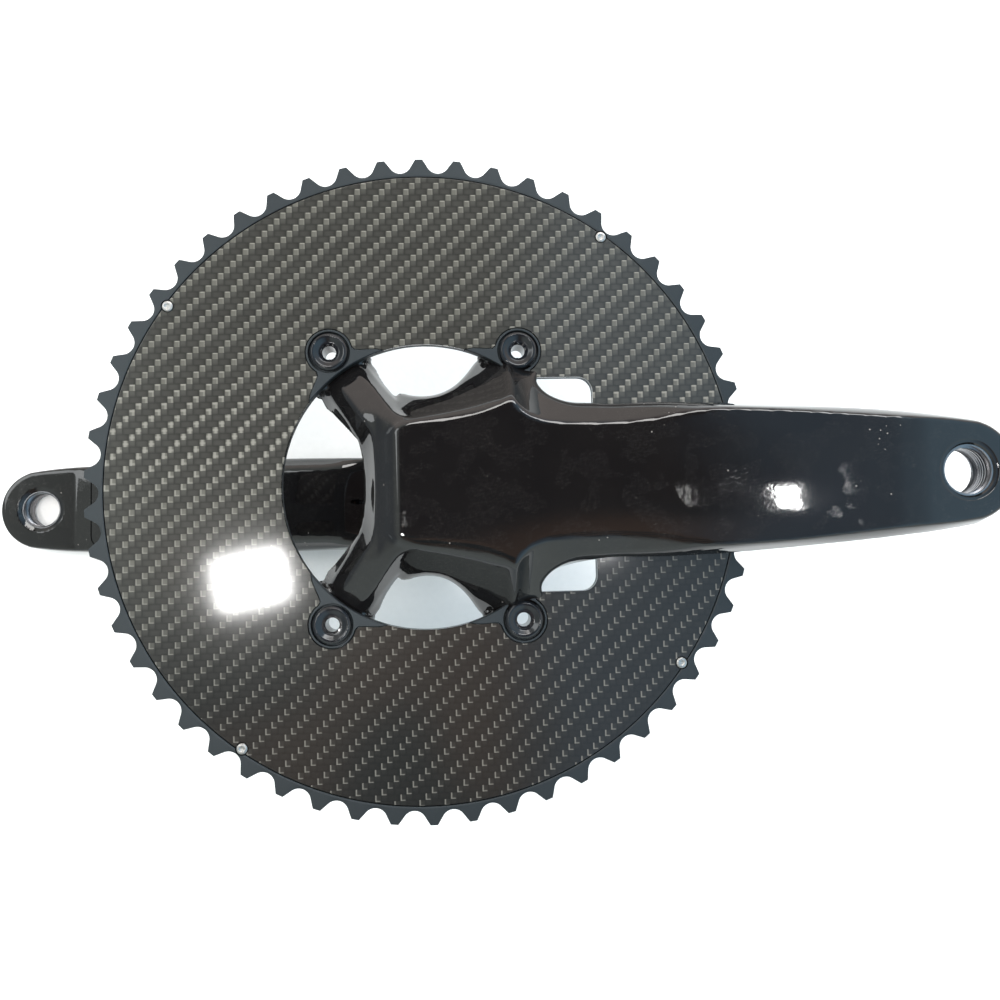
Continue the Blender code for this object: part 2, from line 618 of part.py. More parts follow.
def make_face_plate():
    """Carbon plate let into the ring, flush with its rim and cut round the bolt lands."""
    carbon = rod("face_plate", RECESS_RADIUS - GAP, RING_SEAT + GAP, RING_FACE, steps=72)
    low, high = RING_SEAT - THROUGH, RING_FACE + THROUGH
    opening = plate("plate_opening", [opening_outline()], low, high)
    notches = rivet_notches("plate_notch", RIVET_HEAD_RADIUS + GAP, low, high)
    combine(carbon, [opening] + land_prisms("plate_land", GAP, low, high) + notches, "DIFFERENCE")
    return as_part(carbon, CARBON)


def make_rivets():
    head = RIVET_HEAD_RADIUS
    shank = RIVET_SHANK_RADIUS
    profile = [(0, RING_FACE + 0.2 * MM), (0.6 * head, RING_FACE + 0.1 * MM),
               (head, RING_FACE - 0.3 * MM),
               (head, RING_SEAT + GAP), (shank, RING_SEAT + GAP), (shank, RING_BACK - GAP),
               (0.8 * head, RING_BACK - GAP), (0.7 * head, RING_BACK - 3 * GAP),
               (0, RING_BACK - 3.4 * GAP)]
    for k, angle in enumerate(RIVET_ANGLES, start=1):
        x, y = polar(RIVET_CIRCLE, angle)
        place(turned(f"rivet_{k}", profile, SILVER, steps=10), x, y)


make_chainring()
make_face_plate()
make_rivets()


# ---- chainring bolts and nuts -------------------------------------------------------
def star_outline(radius, lobes, depth):
    outline = []
    for i in range(lobes * 2):
        angle = math.pi * i / lobes
        outline.append(polar(radius - depth * (0.5 + 0.5 * math.cos(lobes * angle)), angle))
    return outline


def make_bolts():
    seat = RING_SEAT + GAP
    top = seat + BOLT_HEAD_HEIGHT
    tip = TAB_BACK - 0.6 * NUT_FLANGE_HEIGHT
    rim = BOLT_HEAD_RADIUS
    dish = rim - 1.2 * MM
    outside = [(BOLT_BORE_RADIUS, top - 0.7 * MM), (dish - 1 * MM, top - 0.7 * MM), (dish, top),
               (rim - 0.5 * MM, top), (rim, top - 0.5 * MM), (rim, seat), (BOLT_SHANK_RADIUS, seat),
               (BOLT_SHANK_RADIUS, tip), (BOLT_BORE_RADIUS, tip)]
    nut_top = RING_SEAT - GAP
    flange = TAB_BACK - GAP
    low = flange - NUT_FLANGE_HEIGHT
    thread = BOLT_SHANK_RADIUS + GAP
    sleeve = [(thread, nut_top), (NUT_BARREL_RADIUS, nut_top), (NUT_BARREL_RADIUS, flange),
              (NUT_FLANGE_RADIUS, flange), (NUT_FLANGE_RADIUS, low + 0.5 * MM),
              (NUT_FLANGE_RADIUS - 0.5 * MM, low), (thread, low)]
    for k, angle in enumerate(BOLT_ANGLES, start=1):
        x, y = polar(BOLT_RADIUS, angle)
        bolt = turned(f"chainring_bolt_{k}", outside, closed=True)
        socket = plate(f"bolt_socket_{k}", [star_outline(BOLT_SOCKET_RADIUS, 6, 0.7 * MM)],
                       top - BOLT_SOCKET_DEPTH, top + THROUGH)
        place(bolt, x, y)
        place(socket, x, y)
        as_part(combine(bolt, [socket], "DIFFERENCE"), BLACK_STEEL)
        place(turned(f"chainring_nut_{k}", sleeve, BLACK_STEEL, closed=True), x, y)


make_bolts()


# ---- clamped arm --------------------------------------------------------------------
# Made with its own +X towards the pedal and +Z outwards, then turned to its place.
ALONG_Y = Matrix.Rotation(-math.pi / 2, 4, "X")


def across(name, radius, low, high, x, steps=20):
    """Rod along Y at the clamp bolts' height."""
    return place(rod(name, radius, low, high, steps=steps), x, 0, CLAMP_Z, ALONG_Y)


def make_left_arm():
    arm = left_profile.body("left_arm", 0.0, ARM_END)
    rim = 1.6 * MM
    hub = turned("left_hub", [(0, LEFT_HUB_FACE), (LEFT_HUB_RADIUS - 2 * rim, LEFT_HUB_FACE),
                              (LEFT_HUB_RADIUS, LEFT_HUB_FACE - 3 * rim),
                              (LEFT_HUB_RADIUS, HUB_BACK + rim),
                              (LEFT_HUB_RADIUS - rim, HUB_BACK), (0, HUB_BACK)], steps=40)
    shoulder = rod("left_shoulder", SHOULDER_RADIUS, SHOULDER, HUB_BACK + 2 * MM, steps=32)
    bore = plate("left_bore", [spline_outline(GAP)], SHOULDER - THROUGH, CLAMP_FLOOR + THROUGH)
    mouth = rod("left_bore_mouth", SPINDLE_RADIUS + GAP, SHOULDER - THROUGH, SHOULDER + BORE_MOUTH,
                steps=32)
    seat = rod("cap_seat", CAP_FLANGE_RADIUS + GAP, CLAMP_FLOOR, LEFT_HUB_FACE + THROUGH, steps=32)
    half = CLAMP_SLOT / 2
    near = SPINDLE_BORE
    slot = plate("clamp_slot", [[(near, -half), (SLOT_END, -half), (SLOT_END, half), (near, half)]],
                 SHOULDER - THROUGH, CLAMP_FLOOR - 1 * MM)
    holes = []
    side_reach = LEFT_HUB_RADIUS + 4 * MM
    for k, (x, side) in enumerate(CLAMP_HEADS, start=1):
        ends = sorted((-side * (CLAMP_SEAT + CLAMP_END_WALL), side * (CLAMP_SEAT + THROUGH)))
        holes.append(across(f"clamp_hole_{k}", CLAMP_BOLT_RADIUS + GAP, *ends, x))
        ends = sorted((side * CLAMP_SEAT, side * side_reach))
        holes.append(across(f"clamp_counterbore_{k}", CLAMP_HEAD_RADIUS + 2 * GAP, *ends, x))
    combine(arm, [hub, shoulder], "UNION")
    combine(arm, [bore, mouth, seat, slot, pedal_hole("left_pedal_hole")] + holes, "DIFFERENCE")
    combine(arm, hollow(left_profile, "left", LEFT_HOLLOW_START, HOLLOW_END), "DIFFERENCE")
    arm = bake(arm)
    place(arm, turn=LEFT_TURN)
    return as_part(arm, GLOSS_BLACK)


LEFT_HOLLOW_START = SLOT_END + 32 * MM
make_left_arm()
as_part(place(cover(left_profile, "left", LEFT_HOLLOW_START, HOLLOW_END), turn=LEFT_TURN), GLOSS_BLACK)


def make_clamp_bolts():
    for k, (x, side) in enumerate(CLAMP_HEADS, start=1):
        washer_low = CLAMP_SEAT + GAP
        head_low = washer_low + WASHER_THICKNESS + GAP
        head_top = head_low + CLAMP_HEAD_HEIGHT
        tip = -(CLAMP_SEAT + CLAMP_END_WALL - GAP)
        edge = 0.5 * MM
        profile = [(0, head_top), (CLAMP_HEAD_RADIUS - edge, head_top),
                   (CLAMP_HEAD_RADIUS, head_top - edge), (CLAMP_HEAD_RADIUS, head_low),
                   (CLAMP_BOLT_RADIUS, head_low), (CLAMP_BOLT_RADIUS, tip), (0, tip)]
        bolt = turned(f"clamp_bolt_{k}", profile, steps=16)
        socket = plate(f"clamp_socket_{k}", [circle(CLAMP_HEX_RADIUS, 6)], head_top - CLAMP_HEX_DEPTH,
                       head_top + THROUGH)
        combine(bolt, [socket], "DIFFERENCE")
        washer = plate(f"clamp_washer_{k}", [circle(CLAMP_HEAD_RADIUS, 16),
                                             circle(CLAMP_BOLT_RADIUS + GAP, 16)],
                       washer_low, washer_low + WASHER_THICKNESS)
        turn = Matrix.Rotation(-side * math.pi / 2, 4, "X")
        bolt = bake(bolt)
        for piece in (bolt, washer):
            place(piece, x, 0, CLAMP_Z, turn)
            place(piece, turn=LEFT_TURN)
            as_part(piece, BLACK_STEEL)


make_clamp_bolts()


# ---- stopper plate, hinged on the first clamp bolt ----------------------------------
def make_stopper():
    """Flat safety plate in the slot: its tooth drops into the spindle's window."""
    hub = STOPPER_HUB_RADIUS
    tooth_x = SPINDLE_RADIUS - 1.6 * MM - CLAMP_X
    tooth_z = -5.5 * MM
    outline = [(-5.4 * MM, tooth_z + STOPPER_TOOTH / 2 + 0.2 * MM),
               (tooth_x, tooth_z + STOPPER_TOOTH / 2), (tooth_x, tooth_z - STOPPER_TOOTH / 2 + 0.4 * MM),
               (tooth_x + 0.8 * MM, tooth_z - STOPPER_TOOTH / 2)]
    outline += [(-3.8 * MM, tooth_z - 0.8 * MM), (-2.4 * MM, -hub)]
    outline += [(1.5 * MM, -hub), (3.4 * MM, -7.2 * MM), (5.6 * MM, -7.2 * MM), (6.4 * MM, -5.4 * MM)]
    outline += arc(0, 0, hub, math.radians(-20), math.radians(190), 14)
    flat = plate("stopper_plate", [outline, circle(CLAMP_BOLT_RADIUS + GAP, 16)],
                 -STOPPER_THICKNESS / 2, STOPPER_THICKNESS / 2)
    place(flat, turn=Matrix.Rotation(math.pi / 2, 4, "X"))
    return flat


stopper = make_stopper()
hinge = LEFT_TURN @ Matrix.Translation((CLAMP_X, 0, CLAMP_Z))
place(stopper, turn=LEFT_TURN)
stopper.location = hinge.translation
as_part(stopper, BLACK_PLASTIC)


# ---- preload cap --------------------------------------------------------------------
def make_cap():
    low = CLAMP_FLOOR + GAP
    top = low + CAP_FLANGE_HEIGHT
    shank = SPINDLE_BORE - GAP
    end = low - CAP_SHANK_LENGTH
    edge = 0.8 * MM
    cap = turned("preload_cap", [(0, top), (CAP_FLANGE_RADIUS - edge, top),
                                 (CAP_FLANGE_RADIUS, top - edge), (CAP_FLANGE_RADIUS, low),
                                 (shank, low), (shank, end), (0, end)], steps=32)
    tool = plate("cap_tool_socket", [star_outline(CAP_TOOL_RADIUS, CAP_TOOL_LOBES, 1.0 * MM)],
                 top - CAP_TOOL_DEPTH, top + THROUGH)
    combine(cap, [tool], "DIFFERENCE")
    cap = bake(cap)
    place(cap, turn=LEFT_TURN)
    return as_part(cap, BLACK_PLASTIC)


make_cap()

for part in crankset.objects:
    part.data.shade_smooth()
    part.data.set_sharp_from_angle(angle=math.radians(30))
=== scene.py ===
import math

import bmesh
import bpy
import numpy as np
from mathutils import Matrix, Vector


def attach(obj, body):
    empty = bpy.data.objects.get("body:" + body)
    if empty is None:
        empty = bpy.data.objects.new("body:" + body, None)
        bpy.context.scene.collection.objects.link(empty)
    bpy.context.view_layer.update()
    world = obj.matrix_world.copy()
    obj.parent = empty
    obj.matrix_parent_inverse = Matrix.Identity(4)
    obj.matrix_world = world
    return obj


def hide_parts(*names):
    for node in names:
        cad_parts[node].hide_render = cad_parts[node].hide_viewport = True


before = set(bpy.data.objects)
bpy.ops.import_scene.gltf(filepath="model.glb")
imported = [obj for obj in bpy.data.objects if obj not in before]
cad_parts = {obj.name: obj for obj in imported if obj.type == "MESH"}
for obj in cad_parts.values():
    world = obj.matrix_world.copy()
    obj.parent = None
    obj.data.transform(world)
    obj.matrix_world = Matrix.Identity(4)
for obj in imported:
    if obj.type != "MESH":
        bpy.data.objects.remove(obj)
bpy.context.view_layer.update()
mm = 0.001


class Wire:
    # one output socket, so that node maths reads as ordinary maths
    def __init__(self, sheet, socket):
        self.sheet = sheet
        self.socket = socket

    def math(self, operation, *others, clamp=False):
        values = {0: self}
        values.update({i + 1: other for i, other in enumerate(others)})
        return self.sheet.add("ShaderNodeMath", {"operation": operation, "use_clamp": clamp}, values)

    def __add__(self, other):
        return self.math("ADD", other)

    def __sub__(self, other):
        return self.math("SUBTRACT", other)

    def __mul__(self, other):
        return self.math("MULTIPLY", other)

    def __truediv__(self, other):
        return self.math("DIVIDE", other)

    def __pow__(self, other):
        return self.math("POWER", other)

    def __mod__(self, other):
        return self.math("FLOORED_MODULO", other)

    def __lt__(self, other):
        return self.math("LESS_THAN", other)

    def __gt__(self, other):
        return self.math("GREATER_THAN", other)

    def __neg__(self):
        return self.math("MULTIPLY", -1.0)

    def __abs__(self):
        return self.math("ABSOLUTE")

    def __rsub__(self, other):
        return (-self) + other

    def __rtruediv__(self, other):
        return self.math("POWER", -1.0) * other

    __radd__ = __add__
    __rmul__ = __mul__


class Sheet:
    # a shader or geometry node tree that grows one node at a time
    def __init__(self, tree):
        self.tree = tree

    def add(self, kind, settings=None, values=None, output=0):
        node = self.tree.nodes.new(kind)
        for name, value in (settings or {}).items():
            if name == "items":
                for _ in range(value - len(node.index_switch_items)):
                    node.index_switch_items.new()
            elif name == "stops":
                self.setStops(node.color_ramp.elements, value)
            else:
                setattr(node, name, value)
        for name, value in (values or {}).items():
            if isinstance(value, Wire):
                self.tree.links.new(value.socket, node.inputs[name])
            else:
                node.inputs[name].default_value = value
        return Wire(self, node.outputs[output])

    def setStops(self, ramp, stops):
        for _ in range(len(stops) - len(ramp)):
            ramp.new(0.5)
        for mark, (place, color) in zip(ramp, stops):
            mark.position = place
            mark.color = (*color, 1.0)

    def other(self, wire, output):
        return Wire(self, wire.socket.node.outputs[output])

    def mix(self, share, first, second):
        settings = {"data_type": "RGBA", "clamp_factor": True}
        return self.add("ShaderNodeMix", settings, {0: share, 6: first, 7: second}, 2)

    def noise(self, place, scale, detail=2.0, roughness=0.5):
        values = {"Vector": place, "Scale": scale, "Detail": detail, "Roughness": roughness}
        return self.add("ShaderNodeTexNoise", None, values)

    def split(self, vector):
        x = self.add("ShaderNodeSeparateXYZ", None, {0: vector})
        return x, self.other(x, 1), self.other(x, 2)

    def vector(self, x, y, z):
        return self.add("ShaderNodeCombineXYZ", None, {0: x, 1: y, 2: z})

    def ease(self, value, start, end):
        # 0 before start, 1 past end, smooth between
        ends = {"Value": value, "From Min": start, "From Max": end}
        return self.add("ShaderNodeMapRange", {"interpolation_type": "SMOOTHSTEP"}, ends)

    def bump(self, height, distance, strength=1.0):
        return self.add("ShaderNodeBump", None,
                        {"Height": height, "Distance": distance, "Strength": strength})

    def pick(self, index, values):
        # the value that stands at this place in a list
        sockets = {0: index}
        sockets.update({i + 1: value for i, value in enumerate(values)})
        return self.add("GeometryNodeIndexSwitch", {"data_type": "FLOAT", "items": len(values)}, sockets)


def finish(name, build, **constants):
    # constants sit on the shader's own sockets, and build() wires what varies
    made = bpy.data.materials.new(name)
    made.use_nodes = True
    shader = made.node_tree.nodes["Principled BSDF"]
    for socket, value in constants.items():
        shader.inputs[socket.replace("_", " ")].default_value = value
    sheet = Sheet(made.node_tree)
    place = sheet.add("ShaderNodeTexCoord", None, None, "Object")
    for socket, wire in build(sheet, place).items():
        made.node_tree.links.new(wire.socket, shader.inputs[socket])
    return made


def paintedGloss(sheet, place):
    # piano black: faint orange peel, dust in the lacquer, hairline marks
    peel = sheet.noise(place, 700.0, 1.0)
    swell = sheet.noise(place, 50.0, 2.0)
    dust = sheet.add("ShaderNodeTexVoronoi", {"feature": "F1"}, {"Vector": place, "Scale": 330.0})
    keep = sheet.noise(place, 110.0, 2.0)
    specks = (dust < 0.085) * (keep > 0.60)
    x, y, z = sheet.split(place)
    slanted = sheet.vector(x * 60.0 + y * 22.0, y * 900.0 - x * 330.0, z * 300.0)
    hair = sheet.noise(slanted, 6.0, 1.0)
    hairs = (abs(hair - 0.5) < 0.004) * (keep > 0.5)
    normal = sheet.bump(peel * 0.2 + swell * 1.6 + hairs * 0.05, 0.00002)
    color = sheet.mix(swell, (0.0030, 0.0029, 0.0033, 1), (0.0060, 0.0055, 0.0055, 1))
    color = sheet.mix(specks + hairs * 0.25, color, (0.13, 0.12, 0.11, 1))
    return {"Base Color": color, "Roughness": 0.018 + swell * 0.03 + specks * 0.4, "Normal": normal}


def anodised(sheet, place):
    # fine blasted grain under a dark blue-grey anodise
    grain = sheet.noise(place, 5200.0, 3.0, 0.7)
    cloud = sheet.noise(place, 34.0, 3.0)
    shade = sheet.mix(grain, (0.026, 0.030, 0.033, 1), (0.050, 0.057, 0.062, 1))
    shade = sheet.mix(cloud * 0.6, shade, (0.036, 0.042, 0.045, 1))
    return {"Base Color": shade, "Roughness": 0.34 + grain * 0.14 + cloud * 0.06,
            "Normal": sheet.bump(grain, 0.00001)}


weave = {"tow": 2.05 * mm, "crown": 0.05 * mm, "strandsAcross": 7000.0, "strandsAlong": 180.0}


def twill(sheet, place):
    # 2x2 twill: every tow passes over two crossing tows, then under two
    tow = weave["tow"]
    wander = sheet.noise(place, 45.0, 1.0) - 0.5
    x, y, z = sheet.split(place)
    across = x / tow + wander * 0.30
    up = y / tow - wander * 0.20
    column = across.math("FLOOR")
    row = up.math("FLOOR")
    inColumn = across - column
    inRow = up - row
    stepUp = (row - column) % 4.0
    upright = stepUp > 1.5                        # this cell shows an upright tow
    # share of the way along the float, which is two cells long
    alongUpright = (stepUp - 2.0 + inRow) * 0.5
    alongLevel = (1.0 - stepUp + inColumn) * 0.5
    along = alongLevel + upright * (alongUpright - alongLevel)
    beside = inRow + upright * (inColumn - inRow)
    offMiddle = abs(along * 2.0 - 1.0)
    offSpine = abs(beside * 2.0 - 1.0)
    arch = 1.0 - offMiddle ** 3.0
    belly = 1.0 - offSpine ** 4.0
    fibreX = sheet.vector(x * weave["strandsAlong"], y * weave["strandsAcross"], z)
    fibreY = sheet.vector(x * weave["strandsAcross"], y * weave["strandsAlong"], z)
    strandsX = sheet.noise(fibreX, 1.0, 1.0)
    strandsY = sheet.noise(fibreY, 1.0, 1.0)
    strands = strandsX + upright * (strandsY - strandsX)
    tint = sheet.add("ShaderNodeTexWhiteNoise", {"noise_dimensions": "2D"},
                     {"Vector": sheet.vector(column * upright, row * (1.0 - upright), 0.0)})
    # painted highlight on the upper half of each upright tow: a broad painted glow on one side, a thin bright
    # painted line on the other
    depth = sheet.ease(y - x * 0.25, -0.062, 0.015)      # painted shade: darker on the lower side, full strength on the upper side
    # strength of the painted glow, weaker towards the lower side
    paintedGlow = depth * (0.72 - x * 1.6).math("MINIMUM", 0.80).math("MAXIMUM", 0.3) + 0.04
    crown = upright * (alongUpright > 0.5)
    turned = sheet.ease(y, -0.01, 0.045)          # the painted highlight lines stand on the other side in the upper half
    sideways = abs(inColumn - turned)
    endways = abs(inRow - turned)
    nearEdge = sheet.ease(sideways, 0.34, 0.10) * (1.0 - turned * 0.5)
    nearFoot = sheet.ease(endways, 0.26, 0.06) * (0.55 + turned * 0.45) * sheet.ease(sideways, 0.92, 0.75)
    line = nearEdge + nearFoot * (1.0 - nearEdge)
    paintedGlint = crown * belly * (strands * 0.5 + 0.75)
    shade = sheet.mix(strands * 0.6 + tint * 0.4, (0.016, 0.015, 0.013, 1), (0.034, 0.033, 0.029, 1))
    # painted sheen: upright tows lighter than level ones
    shade = sheet.mix(upright * 0.8, shade, (0.044, 0.043, 0.038, 1))
    # painted highlight: level tows lighter towards one end
    shade = sheet.mix((1.0 - alongLevel) * (1.0 - upright) * 0.4, shade, (0.040, 0.040, 0.036, 1))
    # painted shade: each float darker towards its ends and edges, where the gaps between tows fall in shadow
    shade = sheet.mix((1.0 - arch * belly) * 0.65, shade, (0.007, 0.007, 0.006, 1))
    # painted shade: the whole weave darker towards the lower side
    shade = sheet.mix(depth, sheet.mix(0.80, shade, (0.004, 0.004, 0.004, 1)), shade)
    # painted highlight: a glow over the crown half of each upright tow
    shade = sheet.mix(paintedGlint * paintedGlow * 0.62, shade, (0.120, 0.116, 0.098, 1))
    # painted highlight: thin bright lines along one edge and the foot of each crown
    shade = sheet.mix(paintedGlint * line * 0.62, shade, (0.230, 0.220, 0.195, 1))
    return {"Base Color": shade, "Roughness": 0.30 + strands * 0.16,
            "Normal": sheet.bump(arch * 0.8 + belly * 0.3 + strands * 0.07, weave["crown"])}


def blackened(sheet, place):
    grain = sheet.noise(place, 1500.0, 2.0)
    return {"Base Color": sheet.mix(grain, (0.003, 0.0035, 0.005, 1), (0.008, 0.009, 0.011, 1)),
            "Roughness": 0.10 + grain * 0.10, "Normal": sheet.bump(grain, 0.000003)}


def brightRivet(sheet, place):
    grain = sheet.noise(place, 2500.0, 2.0)
    return {"Base Color": sheet.mix(grain, (0.30, 0.29, 0.28, 1), (0.52, 0.51, 0.49, 1)),
            "Roughness": 0.32 + grain * 0.2, "Normal": sheet.bump(grain, 0.00002)}


def groundSteel(sheet, place):
    # fine turning marks round the axis
    x, y, z = sheet.split(place)
    rings = sheet.noise(sheet.vector(x * 0.02, y * 0.02, z), 9000.0, 2.0)
    cloud = sheet.noise(place, 45.0, 2.0)
    return {"Base Color": sheet.mix(rings, (0.24, 0.24, 0.25, 1), (0.42, 0.42, 0.43, 1)),
            "Roughness": 0.24 + cloud * 0.16, "Normal": sheet.bump(rings, 0.000006)}


def mouldedPlastic(sheet, place):
    grain = sheet.noise(place, 3200.0, 2.0)
    return {"Base Color": sheet.mix(grain, (0.014, 0.014, 0.015, 1), (0.030, 0.030, 0.031, 1)),
            "Roughness": 0.48 + grain * 0.15, "Normal": sheet.bump(grain, 0.00002)}


def cutThread(sheet, place):
    grain = sheet.noise(place, 2600.0, 2.0)
    return {"Base Color": sheet.mix(grain, (0.13, 0.13, 0.14, 1), (0.26, 0.26, 0.27, 1)),
            "Roughness": 0.24 + grain * 0.12, "Normal": sheet.bump(grain, 0.000008)}


gloss = finish("gloss_black_alloy", paintedGloss, Specular_IOR_Level=0.55)
satin = finish("satin_alloy", anodised, Metallic=0.8)
carbon = finish("carbon_twill", twill, Coat_Weight=1.0, Coat_Roughness=0.08, Coat_IOR=1.5,
                Specular_IOR_Level=0.15)
blackSteel = finish("black_steel", blackened, Metallic=0.1)
silver = finish("rivet_silver", brightRivet, Metallic=1.0)
steel = finish("spindle_steel", groundSteel, Metallic=1.0)
plastic = finish("black_plastic", mouldedPlastic)
threadMetal = finish("bare_thread", cutThread, Metallic=1.0)
print("finishes ready")


def keepPiece(name, mesh, material, body, slotName, *nodes):
    # a finished mesh becomes a piece that rides on a body and stands for CAD nodes
    piece = bpy.data.objects.new(name, mesh)
    bpy.context.scene.collection.objects.link(piece)
    mesh.name = name
    mesh.materials.clear()
    mesh.materials.append(material)
    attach(piece, body)
    if nodes:
        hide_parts(*nodes)
    print(name, len(mesh.polygons), "faces")
    return piece


def arcPoints(x, y, radius, start, end, count):
    angles = np.radians(np.linspace(start, end, count))
    return [(x + radius * math.cos(a), y + radius * math.sin(a)) for a in angles]


def polar(radius, degrees):
    return radius * math.cos(math.radians(degrees)), radius * math.sin(math.radians(degrees))


def roundedLoop(points, pieces=5):
    # closed smooth loop through the points
    p = np.array(points, float)
    before, after, last = np.roll(p, 1, 0), np.roll(p, -1, 0), np.roll(p, -2, 0)
    rows = []
    for t in np.arange(pieces) / pieces:
        rows.append(0.5 * (2 * p + (after - before) * t + (2 * before - 5 * p + 4 * after - last) * t * t
                           + (3 * p - before - 3 * after + last) * t ** 3))
    return np.stack(rows, 1).reshape(-1, 2)


def mirrorLoop(points):
    return points + [(x, -y) for x, y in reversed(points) if abs(y) > 1e-6]


def grown(loop, amount):
    # a loop moved outwards by a small even amount (anticlockwise loops)
    p = np.array(loop, float)
    ahead, behind = np.roll(p, -1, 0) - p, p - np.roll(p, 1, 0)
    ahead /= np.maximum(np.linalg.norm(ahead, axis=1, keepdims=True), 1e-9)
    behind /= np.maximum(np.linalg.norm(behind, axis=1, keepdims=True), 1e-9)
    normal = np.stack([ahead[:, 1] + behind[:, 1], -ahead[:, 0] - behind[:, 0]], 1)
    return p + normal / np.maximum((normal ** 2).sum(1, keepdims=True), 0.5) * 2 * amount


def anticlockwise(loop):
    p = np.array(loop, float)
    area = (p[:, 0] * np.roll(p[:, 1], -1) - np.roll(p[:, 0], -1) * p[:, 1]).sum()
    return p if area > 0 else p[::-1]


def stack(loops):
    # closed solid through rings of equal point count, given as (x, y, z) rows in mm
    rings = [np.asarray(ring, float) for ring in loops]
    count = len(rings[0])
    made = bmesh.new()
    rows = [[made.verts.new(point * mm) for point in ring] for ring in rings]
    for low, high in zip(rows, rows[1:]):
        for i in range(count):
            j = (i + 1) % count
            made.faces.new((low[i], low[j], high[j], high[i]))
    made.faces.new(rows[0][::-1])
    made.faces.new(rows[-1])
    return toMesh(made)


def toMesh(made):
    bmesh.ops.recalc_face_normals(made, faces=made.faces)
    mesh = bpy.data.meshes.new("shape")
    made.to_mesh(mesh)
    made.free()
    return mesh


def prism(loop, low, high, edge=0.0, flare=0.0, slope=None):
    # upright solid on an outline: edge rounds its rims, flare widens its ends as a cutter does
    loop = anticlockwise(loop)
    if edge:
        rows = [(-edge, low), (-0.3 * edge, low + 0.3 * edge), (0, low + edge),
                (0, high - edge), (-0.3 * edge, high - 0.3 * edge), (-edge, high)]
    elif flare:
        rows = [(2 * flare, low - flare), (0, low + flare), (0, high - flare), (2 * flare, high + flare)]
    else:
        rows = [(0, low), (0, high)]
    rings = []
    for amount, z in rows:
        ring = grown(loop, amount)
        lift = slope(ring[:, 0]) if slope else 0.0
        rings.append(np.column_stack([ring, np.full(len(ring), z) + lift]))
    return stack(rings)


def lathe(profile, steps=96, closed=False):
    # profile of (radius, z) in mm, spun round Z; its ends lie on the axis unless it is closed
    made = bmesh.new()
    turns = [(math.cos(2 * math.pi * k / steps), math.sin(2 * math.pi * k / steps)) for k in range(steps)]
    rings = []
    for radius, z in profile:
        if radius < 1e-6:
            rings.append([made.verts.new((0, 0, z * mm))] * steps)
        else:
            rings.append([made.verts.new((radius * c * mm, radius * s * mm, z * mm)) for c, s in turns])
    pairs = list(zip(rings, rings[1:])) + ([(rings[-1], rings[0])] if closed else [])
    for low, high in pairs:
        for i in range(steps):
            j = (i + 1) % steps
            corners = []
            for corner in (low[i], low[j], high[j], high[i]):
                if corner not in corners:
                    corners.append(corner)
            if len(corners) > 2:
                made.faces.new(corners)
    return toMesh(made)


def eased(profile, radius, rounds=2):
    # cuts the corners of a profile, so that edges catch the light
    points = [np.array(p, float) for p in profile]
    result = [points[0]]
    for before, here, after in zip(points, points[1:], points[2:]):
        back, ahead = before - here, after - here
        reach = min(radius, np.linalg.norm(back) * 0.45, np.linalg.norm(ahead) * 0.45)
        start = here + back / np.linalg.norm(back) * reach
        end = here + ahead / np.linalg.norm(ahead) * reach
        for t in np.linspace(0, 1, rounds + 2):
            result.append((1 - t) ** 2 * start + 2 * t * (1 - t) * here + t * t * end)
    result.append(points[-1])
    return [tuple(p) for p in result]


def moved(mesh, matrix):
    mesh.transform(matrix)
    if matrix.determinant() < 0:
        mesh.flip_normals()
    return mesh


def at(x, y, z=0.0):
    return Matrix.Translation((x * mm, y * mm, z * mm))


def combined(mesh, tools, operation, solver="EXACT"):
    # boolean of one mesh with several others, in turn
    for tool in tools:
        host = bpy.data.objects.new("host", mesh)
        guest = bpy.data.objects.new("guest", tool)
        for piece in (host, guest):
            bpy.context.scene.collection.objects.link(piece)
        cut = host.modifiers.new("cut", "BOOLEAN")
        cut.operation = operation
        cut.solver = solver
        cut.object = guest
        mesh = baked(host)
        bpy.data.objects.remove(guest)
        bpy.data.meshes.remove(tool)
    return mesh


def baked(piece):
    # the evaluated mesh, with the object and its modifiers gone
    old = piece.data
    sheet = bpy.context.evaluated_depsgraph_get()
    mesh = bpy.data.meshes.new_from_object(piece.evaluated_get(sheet))
    bpy.data.objects.remove(piece)
    if old.users == 0:
        bpy.data.meshes.remove(old)
    return mesh


def crisp(mesh, degrees=30):
    # smooth shading that breaks at sharp edges; large flat faces keep their own normals
    mesh.shade_smooth()
    mesh.set_sharp_from_angle(angle=math.radians(degrees))
    host = bpy.data.objects.new("host", mesh)
    bpy.context.scene.collection.objects.link(host)
    even = host.modifiers.new("even", "WEIGHTED_NORMAL")
    even.keep_sharp = True
    return baked(host)


def joined(meshes):
    made = bmesh.new()
    for mesh in meshes:
        made.from_mesh(mesh)
        bpy.data.meshes.remove(mesh)
    result = bpy.data.meshes.new("joined")
    made.to_mesh(result)
    made.free()
    return result


def growTree(name, inputs, build):
    # geometry tree with named inputs; build() returns the geometry wire
    tree = bpy.data.node_groups.new(name, "GeometryNodeTree")
    tree.interface.new_socket("Geometry", in_out="INPUT", socket_type="NodeSocketGeometry")
    tree.interface.new_socket("Geometry", in_out="OUTPUT", socket_type="NodeSocketGeometry")
    tree.interface.new_socket("Material", in_out="INPUT", socket_type="NodeSocketMaterial")
    for label, value in inputs.items():
        kind = "NodeSocketInt" if isinstance(value, int) else "NodeSocketFloat"
        tree.interface.new_socket(label, in_out="INPUT", socket_type=kind)
    sheet = Sheet(tree)
    start = sheet.add("NodeGroupInput")
    wires = {label: sheet.other(start, label) for label in ["Geometry", "Material"] + list(inputs)}
    real = sheet.add("GeometryNodeRealizeInstances", None, {0: build(sheet, wires)})
    done = sheet.add("GeometryNodeSetMaterial", None, {0: real, "Material": wires["Material"]})
    end = tree.nodes.new("NodeGroupOutput")
    tree.links.new(done.socket, end.inputs[0])
    return tree


